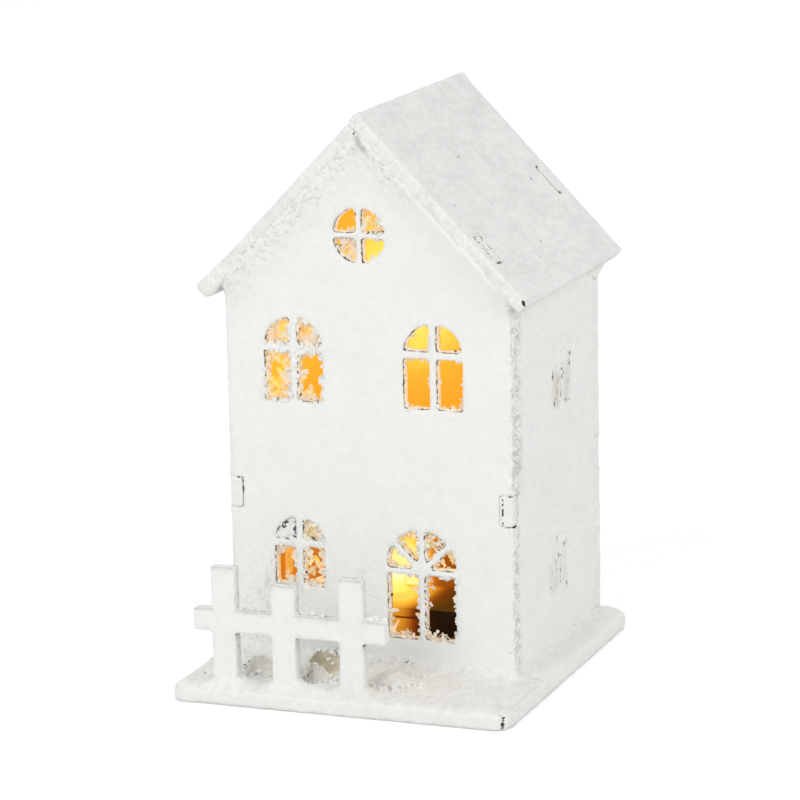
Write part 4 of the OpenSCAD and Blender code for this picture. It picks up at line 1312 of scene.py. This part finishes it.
def snow_in_corners():
    """Snow under the eaves, and along the feet of the walls."""
    c, n = math.cos(PITCH), math.sin(PITCH)
    eave, edge, reach = UNDER_RIDGE - HALF_W * math.tan(PITCH) + 0.1, HALF_W - 0.1, RAKE_Y - 0.5
    for side, word, rise in ((-1, "left", 1.4), (1, "right", 3.0)):
        snow_fillet(word + "_eave_snow", (side * edge, -reach, eave), (side * edge, reach, eave), (0, 0, -1),
                    (side * c, 0, -n), rise, 5.0, SEED + 60 + side, (0.35, 0.4), (1.2, 1.2), 0.2, 0.5)
    clump = spot((46.0, 38.5, 114.0), 1.1, 1.0)
    snow_fillet("back_eave_clump", (edge, 12, eave), (edge, HALF_D + 1.5, eave), (0, 0, -1), (c, 0, -n),
                9.5, 5.6, SEED + 66, (0.2, 0.2), (1.15, 1.15), 0.2, 0.3, [clump], 24.0)
    z = PLATE_TOP - 0.1
    feet = (("right", (edge, -HALF_D, z), (edge, HALF_D, z), (1, 0, 0), 4.5),
            ("left", (-edge, -HALF_D, z), (-edge, HALF_D, z), (-1, 0, 0), 3.5),
            ("back", (-HALF_W, HALF_D - 0.1, z), (HALF_W, HALF_D - 0.1, z), (0, 1, 0), 1.2))
    for index, (word, start, end, out, reach) in enumerate(feet):
        snow_fillet(word + "_foot_snow", start, end, (0, 0, 1), out, 2.0, reach, SEED + 70 + 10 * index,
                    (0.34, 0.4))


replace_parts(yard_snow(), "snow_mounds")
snow_in_corners()


# ---------------------------------------------------------------- flakes in the panes

# Growth of the flakes: one start per this length of edge, more on the sill, dark ones among the first
START_GAP = 0.62
SILL_MORE = 1.7
DARK_SHARE = 0.14
MOST_STEPS = 7
STRIDE = 1.15

# Shards in the yard: so many round each heap, and on the rail beside each picket
YARD_SEED = 41
HEAP_SHARDS = 48
RAIL_SHARDS = 14

# Snow of a closed window: how far it reaches past the panes, how deep its back lies and how much painted lamp
# glow that back takes
PLUG_RIM = 2.5
PLUG_BACK = 3.4
PLUG_WARMTH = 0.68


def inside_pane(pane, u, z):
    hit = False
    for (u0, z0), (u1, z1) in pane_sides(pane):
        if (z0 > z) != (z1 > z) and u < u0 + (z - z0) / (z1 - z0) * (u1 - u0):
            hit = not hit
    return hit


def grow_flakes(rng, pane, cover, reach, warm, shallow, deep, largest, spill):
    """Flakes that start on a pane's edge and lean inwards: (u, z, depth, size, lean, warmth of the painted
    lamp glow).
    """
    flakes = []
    middle = pane_middle(pane)
    for (u0, z0), (u1, z1) in pane_sides(pane):
        run = math.hypot(u1 - u0, z1 - z0)
        sill = SILL_MORE if z0 == z1 == min(p[1] for p in pane) else 1.0
        for _ in range(max(1, int(run / START_GAP * sill))):
            t = rng.random()
            drift = rng.gauss(0, 0.7)
            if rng.random() > cover:
                continue
            u, z = u0 + (u1 - u0) * t, z0 + (z1 - z0) * t
            to = math.atan2(middle[1] - z, middle[0] - u) + drift
            depth = rng.uniform(shallow, deep)
            size = rng.uniform(0.5, largest)
            if rng.random() < spill:
                flakes.append((u - math.cos(to) * 0.4, z - math.sin(to) * 0.4, rng.uniform(-0.1, 0.25),
                               size * 0.8, to, 0.0))
            steps = 1 + int(rng.expovariate(1 / max(reach * sill, 0.01)))
            for step in range(min(steps, MOST_STEPS)):
                glow = warm * (0.35 + 0.2 * step) * rng.uniform(0.5, 1.3)
                if step == 0 and rng.random() < DARK_SHARE:
                    flakes.append((u, z, max(depth, 1.2), min(size, 0.55), to, -1))
                else:
                    flakes.append((u, z, depth, size, to, glow))
                to += rng.gauss(0, 0.5)
                u += math.cos(to) * size * STRIDE
                z += math.sin(to) * size * STRIDE
                depth = min(max(depth + rng.gauss(0.15, 0.35), shallow), deep + 0.8)
                size = rng.uniform(0.45, largest)
                if not inside_pane(pane, u, z):
                    break
    return flakes


def ragged_flake(rng, place, facing, lean, size):
    """A thin uneven shard that points the way it leans: a ring between a point on top and one underneath."""
    count = rng.randint(5, 7)
    normal = (Vector(facing) + Vector([rng.gauss(0, 0.4) for _ in range(3)])).normalized()
    other = normal.cross(Vector(lean)).normalized()
    across = other.cross(normal) * rng.uniform(1.0, 1.7)
    start = rng.random() * math.tau
    ring = []
    for i in range(count):
        a = start + math.tau * i / count + rng.gauss(0, 0.16)
        r = size * rng.uniform(0.5, 1.2)
        ring.append(place + across * r * math.cos(a) + other * r * math.sin(a)
                    + normal * rng.gauss(0, 0.12) * size)
    thick = size * rng.uniform(0.14, 0.28)
    ring.append(place + normal * thick)
    ring.append(place - normal * thick)
    faces = []
    for i in range(count):
        j = (i + 1) % count
        faces.append((i, j, count))
        faces.append((j, i, count + 1))
    return ring, faces


def flake_piece(name, rng, flakes):
    """Loose flakes in one mesh; flakes are (place, facing, lean, size, warmth)."""
    verts, faces, warmth = [], [], []
    for place, facing, lean, size, glow in flakes:
        ring, skin = ragged_flake(rng, place, facing, lean, size)
        base = len(verts)
        verts += [v * MM + HOUSE for v in ring]
        faces += [tuple(base + i for i in f) for f in skin]
        warmth += [glow] * len(ring)
    mesh = bpy.data.meshes.new(name)
    mesh.from_pydata(verts, [], faces)
    mesh.update()
    snow_object(name, mesh, FLAKES, warm=warmth)


def window_flakes(name, seed, face, facing, panes):
    """Flakes of one window; panes hold what grow_flakes takes after its random numbers."""
    rng = random.Random(seed)
    flakes = []
    for pane in panes:
        for u, z, depth, size, to, glow in grow_flakes(rng, *pane):
            place = Vector(face(u, z, depth))
            lean = Vector(face(u + math.cos(to), z + math.sin(to), depth)) - place
            flakes.append((place, facing, lean, size, glow))
    flake_piece(name, rng, flakes)


def yard_flakes():
    """Shards of snow lying round the heaps behind the fence and on the fence's rail."""
    rng = random.Random(YARD_SEED)
    flakes = []
    for middle_x, middle_y, _, r, _ in HEAPS:
        for _ in range(HEAP_SHARDS):
            turn, away = rng.uniform(0, math.tau), r * rng.uniform(0.85, 1.6)
            x, y = middle_x + away * math.cos(turn), middle_y + away * math.sin(turn)
            z = PLATE_TOP + snow_height(np.array([x]), np.array([y]))[0]
            lean = Vector((math.cos(turn), math.sin(turn), 0.4))
            flakes.append((Vector((x, y, z)), (0, -0.5, 0.8), lean, rng.uniform(0.4, 1.2), 0.0))
    for x, half in PICKETS:
        run = min(10.4, FENCE_HIGH.x - x - half - 0.8)
        for _ in range(RAIL_SHARDS):
            place = Vector((x + half + rng.uniform(0.4, run), FENCE_HIGH.y - rng.uniform(0.2, 2.0),
                            RAIL[1] + 0.3))
            lean = Vector((1, rng.uniform(-0.5, 0.5), 0.3))
            flakes.append((place, (0, -0.5, 1), lean, rng.uniform(0.4, 1.2), 0.0))
    flake_piece("yard_flakes", rng, flakes)


def pane_gap(panes, u, z):
    """Distance from each point to the nearest pane, negative inside it."""
    nearest = np.full(len(u), 99.0)
    for pane in panes:
        gap = np.full(len(u), 99.0)
        inside = np.zeros(len(u), bool)
        for (u0, z0), (u1, z1) in pane_sides(pane):
            du, dz = u1 - u0, z1 - z0
            t = np.clip(((u - u0) * du + (z - z0) * dz) / (du ** 2 + dz ** 2), 0, 1)
            gap = np.minimum(gap, np.hypot(u - u0 - t * du, z - z0 - t * dz))
            if z0 != z1:
                inside ^= ((z0 > z) != (z1 > z)) & (u < u0 + (z - z0) / dz * du)
        nearest = np.minimum(nearest, np.where(inside, -gap, gap))
    return nearest


def snow_plug(name, seed, face, panes, looks, deep, spill, sooty=1.0):
    """Snow that has closed a window: a lumpy sheet with grey crumbs along the panes.

    Looks are (crumbs along the outline, earthiness) per pane. The sheet lies deep in the board and spills
    over the bars.
    """
    rng = random.Random(seed)
    us, zs = zip(*(p for pane in panes for p in pane))
    rows, cols = (int((max(v) - min(v) + 2 * PLUG_RIM) / PLUG_STEP) + 2 for v in (zs, us))
    u, z = (v.ravel() for v in np.meshgrid(*(np.linspace(min(v) - PLUG_RIM, max(v) + PLUG_RIM, count)
                                             for v, count in ((us, cols), (zs, rows)))))
    flat = np.column_stack((u, z, np.zeros(len(u))))
    rough = 0.18 * lumps(flat, 2.7, seed) + 0.15 * lumps(flat, 1.3, seed + 1)
    past = np.clip(pane_gap(panes, u, z) / 0.6 - spill / 0.6 + 0.5, 0, 1)
    depth = np.maximum(deep + rough, -0.5) + 1.2 * past
    outer = np.column_stack(face(u, z, depth))
    inner = np.column_stack(face(u, z, np.full(len(u), PLUG_BACK)))
    points, faces = closed_sheet(outer, inner, rows, cols)
    crumbs, tint = [], np.zeros(len(points))
    for pane, (count, earthy) in zip(panes, looks):
        sides = pane_sides(pane)
        lengths = [math.dist(*side) for side in sides]
        clumps = [(rng.choices(sides, lengths)[0], rng.random()) for _ in range(2 + count // 5)]
        for _ in range(count):
            ((u0, z0), (u1, z1)), t = rng.choice(clumps)
            t += rng.gauss(0, 1.1) / math.dist((u0, z0), (u1, z1))
            turn, run = math.atan2(z1 - z0, u1 - u0) + rng.gauss(0, 0.6), rng.uniform(0.3, 1.8)
            at = (u0 + (u1 - u0) * t + rng.gauss(0, 0.5), z0 + (z1 - z0) * t + rng.gauss(0, 0.5))
            to = (at[0] + run * math.cos(turn), at[1] + run * math.sin(turn))
            crumbs.append((face(*at, deep), face(*to, deep), sooty * rng.uniform(0.6, 1.0),
                           rng.uniform(0.4, 0.75) / sooty))
        middle = pane_middle(pane)
        away = np.hypot((u - middle[0]) / 4.0, (z - middle[1]) / 6.5)
        tint = np.maximum(tint, earthy * np.tile(np.clip(1.35 - away, 0, 1), 2))
    crumb = seam_marks(points, crumbs)
    tint *= np.clip(0.75 + 0.9 * lumps(points, 1.7, seed + 3), 0, 1.3)
    warm = np.zeros(len(points))
    warm[len(outer):] = PLUG_WARMTH
    snow_piece(name, points, faces, FLAKES, crumb=crumb, tint=tint, warm=warm)


def front_face(u, z, depth):
    return (u, -HALF_D + depth, z)


def right_face(u, z, depth):
    return (HALF_W - depth, u, z)


def left_face(u, z, depth):
    return (-HALF_W + depth, u, z)


# Per pane: edge cover, reach of the flakes and warmth of their painted lamp glow; then the largest flake and
# the share that spills over
FRONT = (0, -1, 0)
FLAKE_SEED = 11
FLAKE_DEPTHS = (0.4, 2.8)
FRONT_FLAKES = {
    "upper_left": (
        UPPER_LEFT, ((0.95, 3.2, 0.9), (0.8, 1.5, 0.7), (0.95, 2.6, 0.9), (0.95, 2.6, 0.7)), 1.4, 0.45),
    "upper_right": (
        UPPER_RIGHT, ((0.25, 0.2, 0.6), (0.3, 0.3, 0.6), (0.35, 0.3, 0.6), (0.2, 0.2, 0.6)), 1.0, 0.1),
    "lower_left": (
        LOWER_LEFT, ((0.6, 1.2, 0.7), (0.6, 1.2, 0.7), (0.5, 0.5, 0.1), (0.8, 2.0, 0.5)), 1.35, 0.35),
    "round": (
        ROUND, ((0.8, 2.0, 0.5), (0.25, 0.3, 0.5), (0.4, 0.6, 0.5), (0.7, 1.8, 0.8)), 1.2, 0.15),
    "door": (
        DOOR, ((0.7, 0.7, 0.5), (0.85, 0.8, 0.4), (0.5, 0.5, 0.5), (0.9, 2.2, 0.9), (0.9, 2.6, 0.4),
               (0.8, 1.6, 0.9)), 0.95, 0.35),
}
for index, (label, (outlines, growth, largest, spill)) in enumerate(FRONT_FLAKES.items()):
    window_flakes(label + "_flakes", FLAKE_SEED + index, front_face, FRONT,
                  [(pane, *grown, *FLAKE_DEPTHS, largest, spill) for pane, grown in zip(outlines, growth)])
snow_plug("lower_left_window_snow", 90, front_face, LOWER_LEFT[2:3], ((34, 0.05),), deep=0.7, spill=0.4)
for label, seed, face in (("right", 96, right_face), ("left", 97, left_face)):
    snow_plug(label + "_upper_window_snow", seed, face, SIDE_UPPER,
              ((14, 0.5), (16, 0.42), (0, 0.0), (8, 0.0)), deep=-0.22, spill=1.5, sooty=0.8)
    snow_plug(label + "_lower_window_snow", seed + 5, face, SIDE_LOWER,
              ((13, 0.3), (13, 0.25), (3, 0.0), (8, 0.0)), deep=-0.22, spill=1.5, sooty=0.8)
yard_flakes()


# ---------------------------------------------------------------- finish of the pieces under the house

def finish_nodes():
    """Materials of the pieces that keep the shape of their solids."""
    case = plastic_material("black_case", (0.012, 0.012, 0.013, 1), (0.03, 0.03, 0.031, 1), lit=True)
    cover = plastic_material("black_cover", (0.014, 0.014, 0.015, 1), (0.035, 0.035, 0.036, 1))
    knob = plastic_material("knob_plastic", (0.03, 0.03, 0.032, 1), (0.075, 0.075, 0.08, 1))
    steel = metal_material("steel", (0.62, 0.61, 0.6, 1), (0.36, 0.355, 0.35, 1))
    nickel = metal_material("nickel", (0.72, 0.69, 0.62, 1), (0.46, 0.44, 0.4, 1))
    cell = cell_material()
    green = board_material()
    lens = lens_material()
    red = plastic_material("red_insulation", (0.36, 0.02, 0.015, 1), (0.5, 0.06, 0.05, 1))
    black = plastic_material("black_insulation", (0.012, 0.012, 0.012, 1), (0.04, 0.04, 0.04, 1))
    finishes = {
        "battery_case": case, "battery_door": cover, "switch_cover": cover, "switch_body": steel,
        "switch_knob": knob, "case_screws": steel, "door_screws": steel, "lamp_leads": steel,
        "contact_springs": nickel, "bridge_contact": nickel, "plus_contact": nickel, "minus_contact": nickel,
        "left_cell": cell, "right_cell": cell, "circuit_board": green, "lamp_lens": lens,
        "red_wire": red, "black_wire": black,
    }
    for node, material in finishes.items():
        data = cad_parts[node].data
        data.materials.clear()
        data.materials.append(material)


finish_nodes()


# ---------------------------------------------------------------- floor and light

FLOOR_R = 4.0
FLOOR_SIDES = 96
FLOOR_Z = -0.0002

# Soft lamps: place in metres and power; they are discs that face the middle of the house
LAMP_SIZE = 1.2
LAMP_AIM = Vector((0, 0, 0.07))
LAMPS = (("front_lamp", (-0.5, -1.5, 0.9), 10.5), ("right_lamp", (1.5, -0.4, 0.9), 8.5),
         ("back_lamp", (-0.6, 1.4, 1.1), 5.0))


def seen_directly(tree):
    """1 for what the camera sees straight, in gloss or through glass."""
    rays = add(tree, "LightPath").outputs
    seen = math_node(tree, "ADD", rays["Is Camera Ray"], rays["Is Glossy Ray"])
    return math_node(tree, "ADD", seen, rays["Is Transmission Ray"], clamp=True)


def lay_floor():
    """Plain pale floor under the lantern; it isn't there when seen from below."""
    mesh = bpy.data.meshes.new("floor")
    angles = [math.tau * i / FLOOR_SIDES for i in range(FLOOR_SIDES)]
    ring = [(FLOOR_R * math.cos(a), FLOOR_R * math.sin(a), 0) for a in angles]
    mesh.from_pydata(ring, [], [tuple(range(FLOOR_SIDES))])
    floor = link_object("floor", mesh)
    floor.location.z = FLOOR_Z
    material = bpy.data.materials.new("pale_floor")
    material.use_nodes = True
    tree = material.node_tree
    tree.nodes.clear()
    seen = seen_directly(tree)
    matt = add(tree, "BsdfDiffuse", {"Color": (0.86, 0.86, 0.86, 1)})
    glow = add(tree, "Emission", {"Color": (1, 1, 1, 1), "Strength": math_node(tree, "MULTIPLY", seen, 0.3)})
    both = add(tree, "AddShader", {0: matt.outputs[0], 1: glow.outputs[0]})
    clear = add(tree, "BsdfTransparent")
    under = add(tree, "NewGeometry").outputs["Backfacing"]
    mix = add(tree, "MixShader", {0: under, 1: both.outputs[0], 2: clear.outputs[0]})
    output = add(tree, "OutputMaterial", {0: mix.outputs[0]})
    output.is_active_output = True
    mesh.materials.append(material)


def light_studio():
    """Even white surroundings and three soft lamps, the front one a little stronger."""
    world = bpy.data.worlds.new("studio")
    world.use_nodes = True
    tree = world.node_tree
    tree.nodes.clear()
    strength = weighted(tree, seen_directly(tree), 0.4, 0.6)
    sky = add(tree, "Background", {0: (1, 1, 1, 1), 1: strength})
    add(tree, "OutputWorld", {0: sky.outputs[0]})
    bpy.context.scene.world = world
    for name, place, power in LAMPS:
        data = bpy.data.lights.new(name, "AREA")
        data.shape = "DISK"
        data.size = LAMP_SIZE
        data.energy = power
        lamp = link_object(name, data)
        lamp.location = place
        lamp.rotation_euler = (LAMP_AIM - Vector(place)).to_track_quat("-Z", "Y").to_euler()


lay_floor()
light_studio()
bpy.context.scene.view_settings.view_transform = "Standard"
